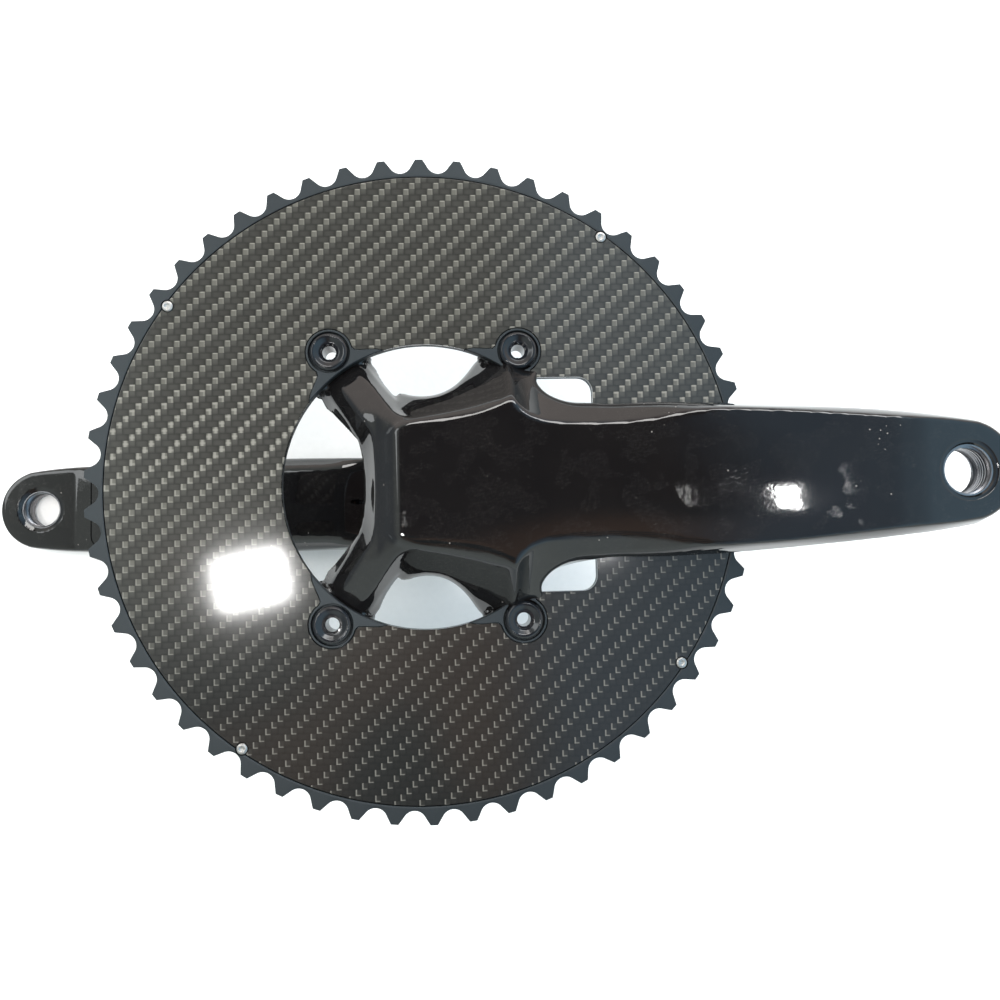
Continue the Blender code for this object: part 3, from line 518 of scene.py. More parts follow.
def runTree(tree, mesh, material, inputs):
    # sets every input by its identifier, then keeps only the plain mesh
    host = bpy.data.objects.new(tree.name, mesh)
    bpy.context.scene.collection.objects.link(host)
    nodes = host.modifiers.new("nodes", "NODES")
    nodes.node_group = tree
    values = dict(inputs, Material=material)
    for item in tree.interface.items_tree:
        if item.in_out == "INPUT" and item.name in values:
            nodes[item.identifier] = values[item.name]
    return baked(host)


def copiesRound(sheet, wires):
    # copies of the given geometry in pairs round the axis, each turned to face outwards
    number = sheet.add("GeometryNodeInputIndex")
    angle = wires["First angle"] + (number % 2.0) * wires["Pair angle"]
    angle = angle + (number / 2.0).math("FLOOR") * wires["Turn angle"]
    radius = wires["Circle radius"]
    place = sheet.vector(radius * angle.math("COSINE"), radius * angle.math("SINE"), 0.0)
    points = sheet.add("GeometryNodePoints", None, {"Count": wires["Copies"], "Position": place})
    return sheet.add("GeometryNodeInstanceOnPoints", None,
                     {"Points": points, "Instance": wires["Geometry"],
                      "Rotation": sheet.vector(0.0, 0.0, angle + wires["Own turn"])})


roundInputs = {"Copies": 4, "Circle radius": 0.055, "First angle": 0.0, "Pair angle": 0.0,
               "Turn angle": math.pi,
               "Own turn": 0.0}
roundTree = growTree("copies_round", roundInputs, copiesRound)


def repeatRound(mesh, material, copies, radius, first, pair, turn, ownTurn=0.0):
    angles = {"First angle": first, "Pair angle": pair, "Turn angle": turn, "Own turn": ownTurn}
    values = {label: math.radians(value) for label, value in angles.items()}
    return runTree(roundTree, mesh, material, dict(values, Copies=copies, **{"Circle radius": radius * mm}))


ring = {
    "teeth": 54, "pitch": 12.7, "phase": 3.66, "roller": 3.95, "wrap": 54.0, "rootDepth": 3.1,
    "tipHeight": 1.6, "tipWidth": 2.4, "back": 41.0, "face": 45.0, "seat": 43.0,
    "rim": 1.4, "gap": 0.3, "opening": 47.5, "pocketHalf": 36.0, "pocketReach": 9.0, "pocketCorner": 5.0,
    "boltCircle": 55.0, "boltAngle": 55.0, "landRadius": 7.6, "landFlare": 10.6, "counterbore": 6.8,
    "nutHole": 5.3,
    "windows": 16, "windowInner": 74.8, "windowOuter": 96.7, "windowWeb": 6.0, "windowCorner": 3.0,
    "rivetAngle": 54.1, "rivetHead": 1.9,
}
ring["root"] = ring["pitch"] / (2 * math.sin(math.pi / ring["teeth"])) - ring["rootDepth"]
ring["tip"] = ring["root"] + ring["rootDepth"] + ring["tipHeight"]
ring["recess"] = ring["root"] - ring["rim"]
ring["rivetCircle"] = ring["recess"] - 1.0
boltAngles = [ring["boltAngle"], 180 - ring["boltAngle"], 180 + ring["boltAngle"], 360 - ring["boltAngle"]]
rivetAngles = [ring["rivetAngle"] + 90 * k for k in range(4)]
toothColumns = [0.0, 0.55, 1.05, 1.20, 1.35, 1.9, 2.5, 2.95, 3.15, 3.5, 3.95, 4.5, 5.1, 5.7]

# the rim's section, as (which circle, how far from it, height): seen from outside, from the back inwards
rimRows = [
    ("recess", -1.7, 41.15), ("recess", -0.4, 41.0), ("root", -0.9, 41.0), ("root", -0.62, 41.25),
    ("root", -0.55, 42.3), ("root", -0.4, 42.5), ("teeth", -0.22, 42.5), ("teeth", -0.05, 42.6),
    ("teeth", 0.0, 42.75), ("teeth", 0.0, 44.75), ("teeth", -0.06, 44.9), ("teeth", -0.2, 44.96),
    ("root", -0.7, 45.0), ("recess", 0.22, 45.0),
    ("recess", 0.06, 44.93), ("recess", 0.0, 44.75), ("recess", 0.0, 42.95), ("recess", -1.7, 42.85),
]


def toothedRim(sheet, wires):
    # a grid wrapped into a ring: columns run round the teeth, rows run round the rim's section
    columnsPerTooth = 2 * len(toothColumns)
    rows = len(rimRows) + 1
    across = wires["Teeth"] * float(columnsPerTooth) + 1.0
    grid = sheet.add("GeometryNodeMeshGrid", None, {"Vertices X": across, "Vertices Y": rows})
    number = sheet.add("GeometryNodeInputIndex")
    row = (number + 0.5) % float(rows) - 0.5
    column = ((number + 0.5) / float(rows)).math("FLOOR")
    tooth = (column / columnsPerTooth + 0.0001).math("FLOOR")
    inTooth = column - tooth * columnsPerTooth
    halves = [-x for x in reversed(toothColumns[1:])] + toothColumns
    halfPitch = wires["Pitch"] * 0.5
    turn = math.pi * 2.0 / wires["Teeth"]
    pitchRadius = halfPitch / (turn * 0.5).math("SINE")
    root = pitchRadius - wires["Root depth"]
    tip = pitchRadius + wires["Tip height"]
    seat = root + wires["Roller radius"]
    steps = [0.0] + [h * mm for h in halves]
    reach = sheet.pick(inTooth.math("ROUND"), steps)
    inGap = inTooth < 0.5
    own = reach / pitchRadius - inGap * turn * 0.5
    angle = wires["Phase"] + tooth * turn + own
    # outline at this angle: flat tip, straight flank, or the round seat of the chain's roller
    fromGap = turn * 0.5 - abs(own)
    sideways = seat * fromGap.math("SINE")
    wrapSine = wires["Roller radius"] * wires["Wrap"].math("SINE")
    wrapRise = seat - wires["Roller radius"] * wires["Wrap"].math("COSINE")
    inside = (wires["Roller radius"] ** 2.0 - sideways ** 2.0).math("MAXIMUM", 0.0)
    gapEdge = seat * fromGap.math("COSINE") - inside.math("SQRT")
    halfTip = wires["Tip width"] * 0.5
    away = abs(own) * pitchRadius
    flankFoot = halfPitch - wrapSine
    flank = tip - (away - halfTip) * (tip - wrapRise) / (flankFoot - halfTip)
    outline = flank.math("MINIMUM", tip)
    outline = outline + (abs(sideways) < wrapSine) * (gapEdge - outline)
    # which circle each row of the section follows
    share = {"recess": 0.0, "root": 1.0, "teeth": 2.0}
    follows = sheet.pick(row.math("ROUND"), [share[kind] for kind, _, _ in rimRows + rimRows[:1]])
    offset = sheet.pick(row.math("ROUND"), [reachOut * mm for _, reachOut, _ in rimRows + rimRows[:1]])
    height = sheet.pick(row.math("ROUND"), [z * mm for _, _, z in rimRows + rimRows[:1]])
    base = root - wires["Rim"] + (follows > 0.5) * wires["Rim"]
    radius = base + (follows > 1.5) * (outline - root) + offset
    place = sheet.vector(radius * angle.math("COSINE"), radius * angle.math("SINE"), height)
    shaped = sheet.add("GeometryNodeSetPosition", None, {"Geometry": grid, "Position": place})
    return sheet.add("GeometryNodeMergeByDistance", None, {"Geometry": shaped, "Distance": 0.000005})


rimInputs = {"Teeth": ring["teeth"], "Pitch": 0.0127, "Root depth": 0.0031, "Tip height": 0.0016,
             "Roller radius": 0.00395, "Wrap": 1.0, "Tip width": 0.0024, "Rim": 0.0014, "Phase": 0.0}


def openingLoop(grow=0.0):
    # round opening, with the arm's pocket on one side
    radius, half = ring["opening"] + grow, ring["pocketHalf"] + grow
    end = ring["opening"] + ring["pocketReach"] + grow
    corner = arcPoints(end - ring["pocketCorner"], half - ring["pocketCorner"], ring["pocketCorner"], 0, 90,
                       12)
    start = math.degrees(math.asin(half / radius))
    return mirrorLoop(corner + arcPoints(0, 0, radius, start, 180, 90)[:-1] + [(-radius, 0)])


def landLoop(angle, grow=0.0):
    # land round a bolt: a circle with two hollow flares into the opening's edge
    radius, flare = ring["landRadius"] + grow, ring["landFlare"] + grow
    middle, edge = ring["boltCircle"], ring["opening"]
    side = [(edge - 7, -flare - 4.5), (edge - 2.2, -flare - 4.2), (edge - 0.4, -flare - 2.4),
            (edge + 0.9, -flare - 0.4),
            (edge + 2.1, -flare + 1.6), (edge + 3.3, -flare + 3.2)]
    side = side + arcPoints(middle, 0, radius, -112, 112, 30) + [(x, -y) for x, y in reversed(side)]
    c, s = math.cos(math.radians(angle)), math.sin(math.radians(angle))
    return [(x * c - y * s, x * s + y * c) for x, y in side]


def sectorLoop(inner, outer, start, end, corner):
    # ring sector with rounded corners
    loop = []
    for radius, angle, towards, facing in ((outer, end, -1, 0), (outer, start, 1, -90),
                                           (inner, start, 1, 180), (inner, end, -1, 90)):
        middle = radius - corner if radius == outer else radius + corner
        turn = angle + towards * math.degrees(math.asin(corner / middle))
        x, y = polar(middle, turn)
        loop.append(arcPoints(x, y, corner, turn + facing, turn + facing + 90, 6))
    outerEnd, outerStart, innerStart, innerEnd = loop
    ahead = arcPoints(0, 0, outer, start + 3, end - 3, 12)
    inwards = arcPoints(0, 0, inner, end - 3.5, start + 3.5, 8)
    return outerStart + ahead + outerEnd + innerEnd + inwards + innerStart


def makeChainring():
    values = {"Teeth": ring["teeth"], "Pitch": ring["pitch"] * mm, "Root depth": ring["rootDepth"] * mm,
              "Tip height": ring["tipHeight"] * mm, "Roller radius": ring["roller"] * mm,
              "Wrap": math.radians(ring["wrap"]), "Tip width": ring["tipWidth"] * mm, "Rim": ring["rim"] * mm,
              "Phase": math.radians(ring["phase"])}
    rim = runTree(growTree("toothed_rim", rimInputs, toothedRim), bpy.data.meshes.new("empty"), satin, values)
    back, face, seat = ring["back"], ring["face"], ring["seat"]
    web = prism(arcPoints(0, 0, ring["recess"] - 0.7, 0, 357.5, 144), back, seat)
    lands = [prism(landLoop(angle), seat - 0.6, face, edge=0.15) for angle in boltAngles]
    web = combined(web, lands, "UNION")
    web = combined(web, [prism(openingLoop(), back, face, flare=0.28)], "DIFFERENCE")
    cuts = []
    step = 360 / ring["windows"]
    for k in range(ring["windows"]):
        start = k * step + ring["windowWeb"] / 2
        loop = sectorLoop(ring["windowInner"], ring["windowOuter"], start, start + step - ring["windowWeb"],
                          ring["windowCorner"])
        cuts.append(prism(loop, back, seat, flare=0.25))
    bore, hole = ring["counterbore"], ring["nutHole"]
    profile = [(0, face + 1), (bore + 1.2, face + 1), (bore, face - 0.2), (bore, seat), (hole, seat),
               (hole, back + 0.2), (hole + 1.2, back - 1), (0, back - 1)]
    for angle in boltAngles:
        cuts.append(moved(lathe(profile, 64), at(*polar(ring["boltCircle"], angle))))
    web = combined(web, cuts, "DIFFERENCE")
    mesh = combined(rim, [web], "UNION")
    drill = [(0, face + 1), (ring["rivetHead"] + 0.25, face + 1), (ring["rivetHead"] + 0.25, seat),
             (1.3, seat),
             (1.3, back - 1), (0, back - 1)]
    drills = [moved(lathe(drill, 24), at(*polar(ring["rivetCircle"], angle))) for angle in rivetAngles]
    mesh = combined(mesh, drills, "DIFFERENCE")
    keepPiece("chainring_alloy", crisp(mesh, 28), satin, "crank", "satin_alloy", "chainring")


def makeFacePlate():
    low, high = ring["seat"] + ring["gap"], ring["face"]
    plate = prism(arcPoints(0, 0, ring["recess"] - ring["gap"], 0, 359, 360), low, high, edge=0.15)
    plate = combined(plate, [prism(openingLoop(), low, high, flare=0.12)], "DIFFERENCE")
    cuts = [prism(landLoop(angle, ring["gap"]), low, high, flare=0.1) for angle in boltAngles]
    notch = [(0, low - 1), (ring["rivetHead"] + 0.25, low - 1), (ring["rivetHead"] + 0.25, high + 1),
             (0, high + 1)]
    cuts += [moved(lathe(notch, 32), at(*polar(ring["rivetCircle"], angle))) for angle in rivetAngles]
    plate = combined(plate, cuts, "DIFFERENCE")
    keepPiece("carbon_face_plate", crisp(plate, 28), carbon, "crank", "carbon_twill", "face_plate")


rivet = {"head": 1.9, "shank": 1.0, "dome": 0.2, "tail": 40.0}


def makeRivets():
    head, shank, face, seat, back = rivet["head"], rivet["shank"], ring["face"], ring["seat"], ring["back"]
    top = face + rivet["dome"]
    profile = [(0, top - 0.28), (0.3 * head, top - 0.28), (0.42 * head, top - 0.06), (0.62 * head, top),
               (0.88 * head, top - 0.14), (head, face - 0.3), (head, seat + 0.3), (shank, seat + 0.3),
               (shank, back - 0.3), (0.8 * head, back - 0.3), (0.72 * head, rivet["tail"] + 0.12),
               (0.5 * head, rivet["tail"]), (0, rivet["tail"])]
    mesh = repeatRound(lathe(eased(profile, 0.12, 1), 28), silver, 4, ring["rivetCircle"],
                       ring["rivetAngle"], 90, 180)
    keepPiece("rivets", crisp(mesh, 50), silver, "crank", "rivet_silver", "rivet_1", "rivet_2", "rivet_3",
              "rivet_4")


bolt = {"head": 6.2, "seat": 43.3, "top": 46.3, "dish": 4.9, "dishDepth": 1.1, "bore": 2.3, "socket": 2.95,
        "lobe": 0.22, "socketDepth": 2.6, "shank": 3.9, "tip": 34.26, "nutTop": 42.7, "barrel": 5.0,
        "flange": 6.6,
        "flangeFace": 35.4, "flangeBack": 33.0}


def lobedLoop(radius, depth, lobes, count=96):
    angles = np.linspace(0, 2 * math.pi, count, endpoint=False)
    reach = radius - depth * (1 - np.cos(lobes * angles))
    return np.column_stack([reach * np.cos(angles), reach * np.sin(angles)])


def makeRingBolts():
    b = bolt
    profile = [(b["bore"], b["top"] - b["dishDepth"]), (b["socket"] + 0.5, b["top"] - b["dishDepth"]),
               (b["dish"], b["top"] - 0.12), (b["head"] - 0.75, b["top"]), (b["head"], b["top"] - 0.65),
               (b["head"], b["seat"]), (b["shank"], b["seat"]), (b["shank"], b["tip"] + 0.4),
               (b["shank"] - 0.4, b["tip"]), (b["bore"], b["tip"])]
    shape = lathe(eased([profile[-1]] + profile, 0.28, 3)[1:], 72, closed=True)
    socket = prism(lobedLoop(b["socket"], b["lobe"], 6), b["top"] - b["socketDepth"], b["top"] + 1, flare=0.0)
    shape = combined(shape, [socket], "DIFFERENCE")
    mesh = repeatRound(shape, blackSteel, 4, ring["boltCircle"], ring["boltAngle"], 70, 180)
    names = [f"chainring_bolt_{k}" for k in range(1, 5)]
    keepPiece("ring_bolts", crisp(mesh, 40), blackSteel, "crank", "black_steel", *names)


def makeRingNuts():
    b = bolt
    inner = b["shank"] + 0.3
    profile = [(inner, b["nutTop"]), (b["barrel"], b["nutTop"]), (b["barrel"], b["flangeFace"]),
               (b["flange"], b["flangeFace"]), (b["flange"], b["flangeBack"] + 0.4),
               (b["flange"] - 0.5, b["flangeBack"]), (inner + 0.3, b["flangeBack"]),
               (inner, b["flangeBack"] + 0.3)]
    shape = lathe(eased([profile[-1]] + profile, 0.2, 2)[1:], 64, closed=True)
    slots = [moved(prism([(-8, -0.7), (8, -0.7), (8, 0.7), (-8, 0.7)], b["flangeBack"] - 1,
                         b["flangeBack"] + 1.1),
                   Matrix.Rotation(math.radians(turn), 4, "Z")) for turn in (0, 90)]
    shape = combined(shape, slots, "DIFFERENCE")
    mesh = repeatRound(shape, blackSteel, 4, ring["boltCircle"], ring["boltAngle"], 70, 180, 20)
    names = [f"chainring_nut_{k}" for k in range(1, 5)]
    keepPiece("ring_nuts", crisp(mesh, 35), blackSteel, "crank", "black_steel", *names)


makeChainring()
makeFacePlate()
makeRivets()
makeRingBolts()
makeRingNuts()


class Plan:
    # a quantity over the plan view, kept on a grid and read back through a smooth kernel
    step = 0.5

    def __init__(self, low, high, formula):
        self.low = low
        counts = [int((b - a) / self.step) + 6 for a, b in zip(low, high)]
        x = low[0] + self.step * (np.arange(counts[0]) - 2)[:, None]
        y = low[1] + self.step * (np.arange(counts[1]) - 2)[None, :]
        self.values = np.broadcast_to(formula(x, y), counts).astype(float)

    def __call__(self, x, y):
        u = (x - self.low[0]) / self.step + 2
        v = (y - self.low[1]) / self.step + 2
        u = np.clip(u, 1, self.values.shape[0] - 3.001)
        v = np.clip(v, 1, self.values.shape[1] - 3.001)
        iu, iv = np.floor(u).astype(int), np.floor(v).astype(int)
        wu, wv = self.kernel(u - iu), self.kernel(v - iv)
        total = 0.0
        for a in range(4):
            line = 0.0
            for b in range(4):
                line = line + wv[b] * self.values[iu + a - 1, iv + b - 1]
            total = total + wu[a] * line
        return total

    def kernel(self, t):
        s = 1 - t
        return s ** 3 / 6, (4 - 6 * t * t + 3 * t ** 3) / 6, (4 - 6 * s * s + 3 * s ** 3) / 6, t ** 3 / 6


def smoothMax(a, b, blend):
    overlap = np.maximum(blend - np.abs(a - b), 0.0) / blend
    return np.maximum(a, b) + overlap * overlap * blend / 4


def smoothMin(a, b, blend):
    return -smoothMax(-a, -b, blend)


def smoothStep(low, high, value):
    share = np.clip((value - low) / (high - low), 0.0, 1.0)
    return share * share * (3 - 2 * share)


def through(points, x):
    # smooth curve through (place, value) pairs, flat beyond its ends
    places, values = (np.array(column, float) for column in zip(*points))
    chords = np.diff(values) / np.diff(places)
    slopes = np.zeros(len(places))
    for i in range(1, len(slopes) - 1):
        before, after = chords[i - 1], chords[i]
        if before * after > 0:
            slopes[i] = 2 * before * after / (before + after)
    x = np.clip(x, places[0], places[-1])
    i = np.clip(np.searchsorted(places, x, side="right") - 1, 0, len(places) - 2)
    width = places[i + 1] - places[i]
    t = (x - places[i]) / width
    return ((2 * t ** 3 - 3 * t * t + 1) * values[i] + (t ** 3 - 2 * t * t + t) * width * slopes[i]
            + (3 * t * t - 2 * t ** 3) * values[i + 1] + (t ** 3 - t * t) * width * slopes[i + 1])


def outlineDistance(loop, x, y):
    # signed distance to a closed outline, negative inside
    x, y = np.broadcast_arrays(x, y)
    best = np.full(x.shape, 1e9)
    inside = np.zeros(x.shape, bool)
    for (x0, y0), (x1, y1) in zip(loop, np.roll(loop, -1, 0)):
        dx, dy = x1 - x0, y1 - y0
        length = dx * dx + dy * dy
        if length < 1e-12:
            continue
        t = np.clip(((x - x0) * dx + (y - y0) * dy) / length, 0, 1)
        best = np.minimum(best, (x - x0 - t * dx) ** 2 + (y - y0 - t * dy) ** 2)
        if y0 != y1:
            inside ^= ((y0 > y) != (y1 > y)) & (x < x0 + (y - y0) * dx / dy)
    return np.where(inside, -1, 1) * np.sqrt(best)


def skinOf(field, low, high, step):
    # a net of quads over the zero level of a field, then drawn onto it
    axes = [np.arange(a - 2 * step, b + 3 * step, step) for a, b in zip(low, high)]
    value = field(axes[0][:, None, None], axes[1][None, :, None], axes[2][None, None, :])
    value = np.broadcast_to(value, [len(a) for a in axes])
    inside = value < 0
    cells = [n - 1 for n in value.shape]
    total = np.zeros(cells + [3])
    count = np.zeros(cells)

    def corner(array, c):
        return array[c[0]:c[0] + cells[0], c[1]:c[1] + cells[1], c[2]:c[2] + cells[2]]

    for axis in range(3):
        for c in [(i, j, k) for i in (0, 1) for j in (0, 1) for k in (0, 1)]:
            if c[axis]:
                continue
            far = tuple(1 if i == axis else n for i, n in enumerate(c))
            near, other = corner(value, c), corner(value, far)
            crossing = corner(inside, c) != corner(inside, far)
            share = np.where(crossing, near / np.where(crossing, near - other, 1.0), 0.0)
            for i in range(3):
                total[..., i] += np.where(crossing, c[i] + (share if i == axis else 0.0), 0.0)
            count += crossing
    active = count > 0
    number = np.full(cells, -1)
    number[active] = np.arange(active.sum())
    points = (total[active] / count[active][:, None] + np.argwhere(active)) * step + [a[0] for a in axes]
    faces = []
    for axis in range(3):
        b, c = [i for i in range(3) if i != axis]
        near, far = [slice(None)] * 3, [slice(None)] * 3
        near[axis], far[axis] = slice(0, -1), slice(1, None)
        spots = np.argwhere(inside[tuple(near)] != inside[tuple(far)])
        alongB, alongC = spots[:, b], spots[:, c]
        spots = spots[(alongB > 0) & (alongC > 0) & (alongB < cells[b]) & (alongC < cells[c])]
        quad = []
        for backB, backC in ((1, 1), (0, 1), (0, 0), (1, 0)):
            cell = spots.copy()
            cell[:, b] -= backB
            cell[:, c] -= backC
            quad.append(number[cell[:, 0], cell[:, 1], cell[:, 2]])
        quad = np.stack(quad, 1)
        outwards = inside[tuple(near)][tuple(spots.T)] ^ (axis == 1)
        quad[~outwards] = quad[~outwards][:, ::-1]
        faces.append(quad)
    for _ in range(4):
        points = drawOnto(field, points, step)
    return points, np.concatenate(faces)


def drawOnto(field, points, step):
    nudge = 0.02
    spot = [points[:, i] for i in range(3)]
    value = field(*spot)
    slope = []
    for i in range(3):
        ahead, behind = list(spot), list(spot)
        ahead[i], behind[i] = spot[i] + nudge, spot[i] - nudge
        slope.append((field(*ahead) - field(*behind)) / (2 * nudge))
    slope = np.stack(slope, 1)
    move = -value[:, None] * slope / np.maximum((slope ** 2).sum(1), 0.05)[:, None]
    length = np.linalg.norm(move, axis=1, keepdims=True)
    return points + move * np.minimum(1.0, 0.35 * step / np.maximum(length, 1e-9))


def skinMesh(points, faces):
    mesh = bpy.data.meshes.new("skin")
    mesh.vertices.add(len(points))
    mesh.vertices.foreach_set("co", (points * mm).astype(np.float32).ravel())
    mesh.loops.add(len(faces) * 4)
    mesh.loops.foreach_set("vertex_index", faces.astype(np.int32).ravel())
    mesh.polygons.add(len(faces))
    mesh.polygons.foreach_set("loop_start", np.arange(len(faces), dtype=np.int32) * 4)
    mesh.update(calc_edges=True)
    mesh.validate()
    made = bmesh.new()
    made.from_mesh(mesh)
    bmesh.ops.remove_doubles(made, verts=made.verts, dist=0.000002)
    bmesh.ops.recalc_face_normals(made, faces=made.faces)
    made.to_mesh(mesh)
    made.free()
    return mesh


arm = {
    "grain": 0.75, "pedalAxis": 170.0, "endRadius": 17.5, "pedalFace": 73.0, "pedalBack": 60.0,
    "pedalHole": 8.15, "pedalMouth": 9.7, "shoulder": 45.0, "shoulderRadius": 15.5, "hubBack": 45.6,
}
spider = {
    "tabBack": 35.7, "tabFace": 40.7, "tabRadius": 9.0, "clearance": 42.2, "ringClear": 46.5, "armStep": 55.9,
    "ridge": [(-40, 49.0), (-22, 51.5), (-16.2, 53.6), (-12, 57.2), (-9.0, 59.3), (-8.0, 59.5), (15, 60.4),
              (33, 61.2),
              (56, 62.75), (72, 64.1), (90, 65.83), (108, 67.77), (122, 69.42), (131, 70.52), (140, 71.61),
              (150, 72.65),
              (158, 73.0), (190, 73.0)],
    "crease": [(-20, 15.0), (-4, 19.3), (6, 20.6), (16, 22.3), (23, 24.2), (28, 25.6), (31, 22.6), (34, 20.2),
               (40, 18.2), (50, 17.3), (60, 17.2), (72, 18.0), (84, 20.0), (96, 21.4), (110, 20.9),
               (130, 18.9),
               (150, 17.2), (164, 16.6), (174, 15.6), (190, 12.0)],
    "facet": [(-20, 1.25), (24, 1.1), (34, 0.9), (48, 0.78), (78, 0.78), (96, 1.1), (190, 1.35)],
    "softness": [(-20, 1.6), (18, 3.0), (28, 1.6), (36, 0.9), (190, 0.9)],
}


def spiderPlan():
    # outer edge of the legs and arm, from the pedal end round to the plain side, then mirrored
    half = arcPoints(arm["pedalAxis"], 0, arm["endRadius"], 0, 80, 8)
    half += [(160, 19.1), (140, 21.1), (120, 22.8), (105, 23.9), (90, 24.7), (75, 25.1), (60, 25.0),
             (52, 25.9),
             (46, 27.3), (41.5, 29.2), (38.8, 31.6), (37.6, 34.8)]
    half += arcPoints(*polar(55, 55), spider["tabRadius"], -28, 152, 9)
    half += [(20.2, 46.7), (17.5, 43.5), (13.4, 37.4), (9.4, 33.2), (4.9, 30.6), (0.01, 29.8), (-4.9, 30.6),
             (-9.4, 33.2), (-13.4, 37.4), (-17.5, 43.5), (-20.2, 46.7)]
    half += arcPoints(*polar(55, 125), spider["tabRadius"], 28, 205, 9)
    half += [(-38.5, 35.4), (-36.3, 30.5), (-30.4, 19.6), (-26.5, 12.0), (-24.7, 6.5), (-24.3, 0.0)]
    return roundedLoop(mirrorLoop(half))


def crestPlan():
    # inside this line the legs and hub are flat-topped, outside it they fall away
    half = [(62, 15.5), (56, 18.0), (48, 22.0), (40, 27.4), (36.4, 31.8), (34.9, 36.4), (36.5, 43),
            (33, 50), (27, 49),
            (24.8, 41.5), (22.0, 36.0), (18.0, 30.4), (14.0, 26.0), (9.5, 22.9), (4.5, 21.1), (0.01, 20.6),
            (-4.0, 20.8), (-8.0, 21.9), (-10.5, 23.7), (-13.0, 27.0), (-18.0, 34.0), (-24.0, 41.0),
            (-27.5, 47.5),
            (-33, 50), (-35.5, 44.5), (-30.9, 37.4), (-24.0, 27.6), (-18.0, 18.9), (-16.6, 14.0),
            (-16.2, 7.0),
            (-16.1, 0.0)]
    return roundedLoop(mirrorLoop(half))


def rightArmField():
    low, high = (-60.0, -58.0), (190.0, 58.0)
    edgeLoop, crestLoop = spiderPlan(), crestPlan()

    def front(x, y):
        radius = np.hypot(x, y)
        ridge = through(spider["ridge"], x)
        cone = spider["tabFace"] + 0.6 + np.maximum(47.3 - radius, 0.0) * 0.63
        ahead = smoothStep(-15, -11, x)           # legs hand over to the arm's beam
        top = smoothMin(ridge - 0.8 * ahead + 0 * y, cone, 1.0)
        fromEdge, fromCrest = outlineDistance(edgeLoop, x, y), outlineDistance(crestLoop, x, y)
        outside, within = np.maximum(fromCrest, 0.0), np.maximum(-fromEdge, 0.0)
        share = outside / np.maximum(outside + within, 1e-6) + np.maximum(fromEdge, 0.0) * 0.2
        fall = np.where(share < 0.5, share * 0.64, 0.32 + (share - 0.5) * 1.5)
        legs = top - (top - spider["tabBack"]) * fall
        legs = np.where(radius > 47.2, spider["tabFace"], legs)
        crease = through(spider["crease"], x)
        crown = y * y / 900.0 * smoothStep(-5, 60, x) * (1 - smoothStep(120, 158, x))
        facet = ridge - (np.abs(y) - crease) * through(spider["facet"], x)
        beam = smoothMin(ridge - crown, facet, through(spider["softness"], x))
        beam = np.where(x < -15, -50.0, beam - 0.8 * (1 - ahead))
        return smoothMax(np.where(x > 60, -50.0, legs), beam, 0.8)

    def back(x, y):
        radius = np.hypot(x, y)
        legs = arm["hubBack"] - np.clip((radius - 27) / 16.5, 0, 1) * (arm["hubBack"] - spider["tabBack"])
        legs = np.where((x > 33) & (radius < 70), np.maximum(legs, spider["clearance"]), legs)
        legs = np.where(np.hypot(x - 31.55, np.abs(y) - 45.05) < 9.5, spider["tabBack"], legs)
        rise = np.clip((x - 60) / 85.0, 0, 1)
        beam = spider["ringClear"] + (arm["pedalBack"] - spider["ringClear"]) * rise
        return np.where(x > spider["armStep"], beam, legs)

    edge = Plan(low, high, lambda x, y: outlineDistance(edgeLoop, x, y))
    top, under = Plan(low, high, front), Plan(low, high, back)

    def field(x, y, z):
        reach = 0.25
        height = top(x, y)
        slopeX = (top(x + reach, y) - height) / reach
        slopeY = (top(x, y + reach) - height) / reach
        steep = np.sqrt(1 + slopeX ** 2 + slopeY ** 2)
        waist = through([(30, 36.0), (58, 56.0), (100, 58.5), (150, 66.0), (190, 67.0)], x)
        lean = smoothStep(34, 58, x)
        side = edge(x, y) + lean * (0.30 * np.maximum(z - waist, 0) + 0.16 * np.maximum(waist - z, 0))
        solid = smoothMax((z - height) / steep, side, 1.6)
        return smoothMax(solid, under(x, y) - z, 1.0)

    return field


def pedalCutter():
    hole, mouth, face, back = arm["pedalHole"], arm["pedalMouth"], arm["pedalFace"], arm["pedalBack"]
    profile = [(0, face + 1), (mouth + 1, face + 1), (mouth, face), (mouth - 0.25, face - 0.22),
               (hole + 0.5, face - 0.28), (hole, face - 0.9), (hole, back + 0.9),
               (mouth, back), (mouth + 1, back - 1), (0, back - 1)]
    return moved(lathe(profile, 96), at(arm["pedalAxis"], 0))


coverSize = {"start": 59.5, "end": 148.45, "inset": 2.2, "depth": 1.8, "groove": 0.35, "leftStart": 65.2}


def coverLoop(halfWidth, start, end, shrink):
    # outline of a back cover: follows the arm's edges, with rounded corners
    corner = 5.0 - shrink
    places = np.linspace(start + corner + shrink, end - corner - shrink, 16)
    upper = [(x, float(halfWidth(x)) - coverSize["inset"] - shrink) for x in places]
    (x0, y0), (x1, y1) = upper[0], upper[-1]
    head = arcPoints(x0, y0 - corner, corner, 180, 100, 5)
    foot = arcPoints(x1, y1 - corner, corner, 80, 0, 5)
    return mirrorLoop(list(reversed(head + upper + foot)))


def rightHalfWidth(x):
    return through([(50, 25.3), (60, 24.2), (75, 23.8), (90, 23.4), (105, 22.6), (120, 21.5), (140, 19.8),
                    (160, 17.8)], x)


def rightBack(x):
    rise = np.clip((x - 60) / 85.0, 0, 1)
    return spider["ringClear"] + (arm["pedalBack"] - spider["ringClear"]) * rise


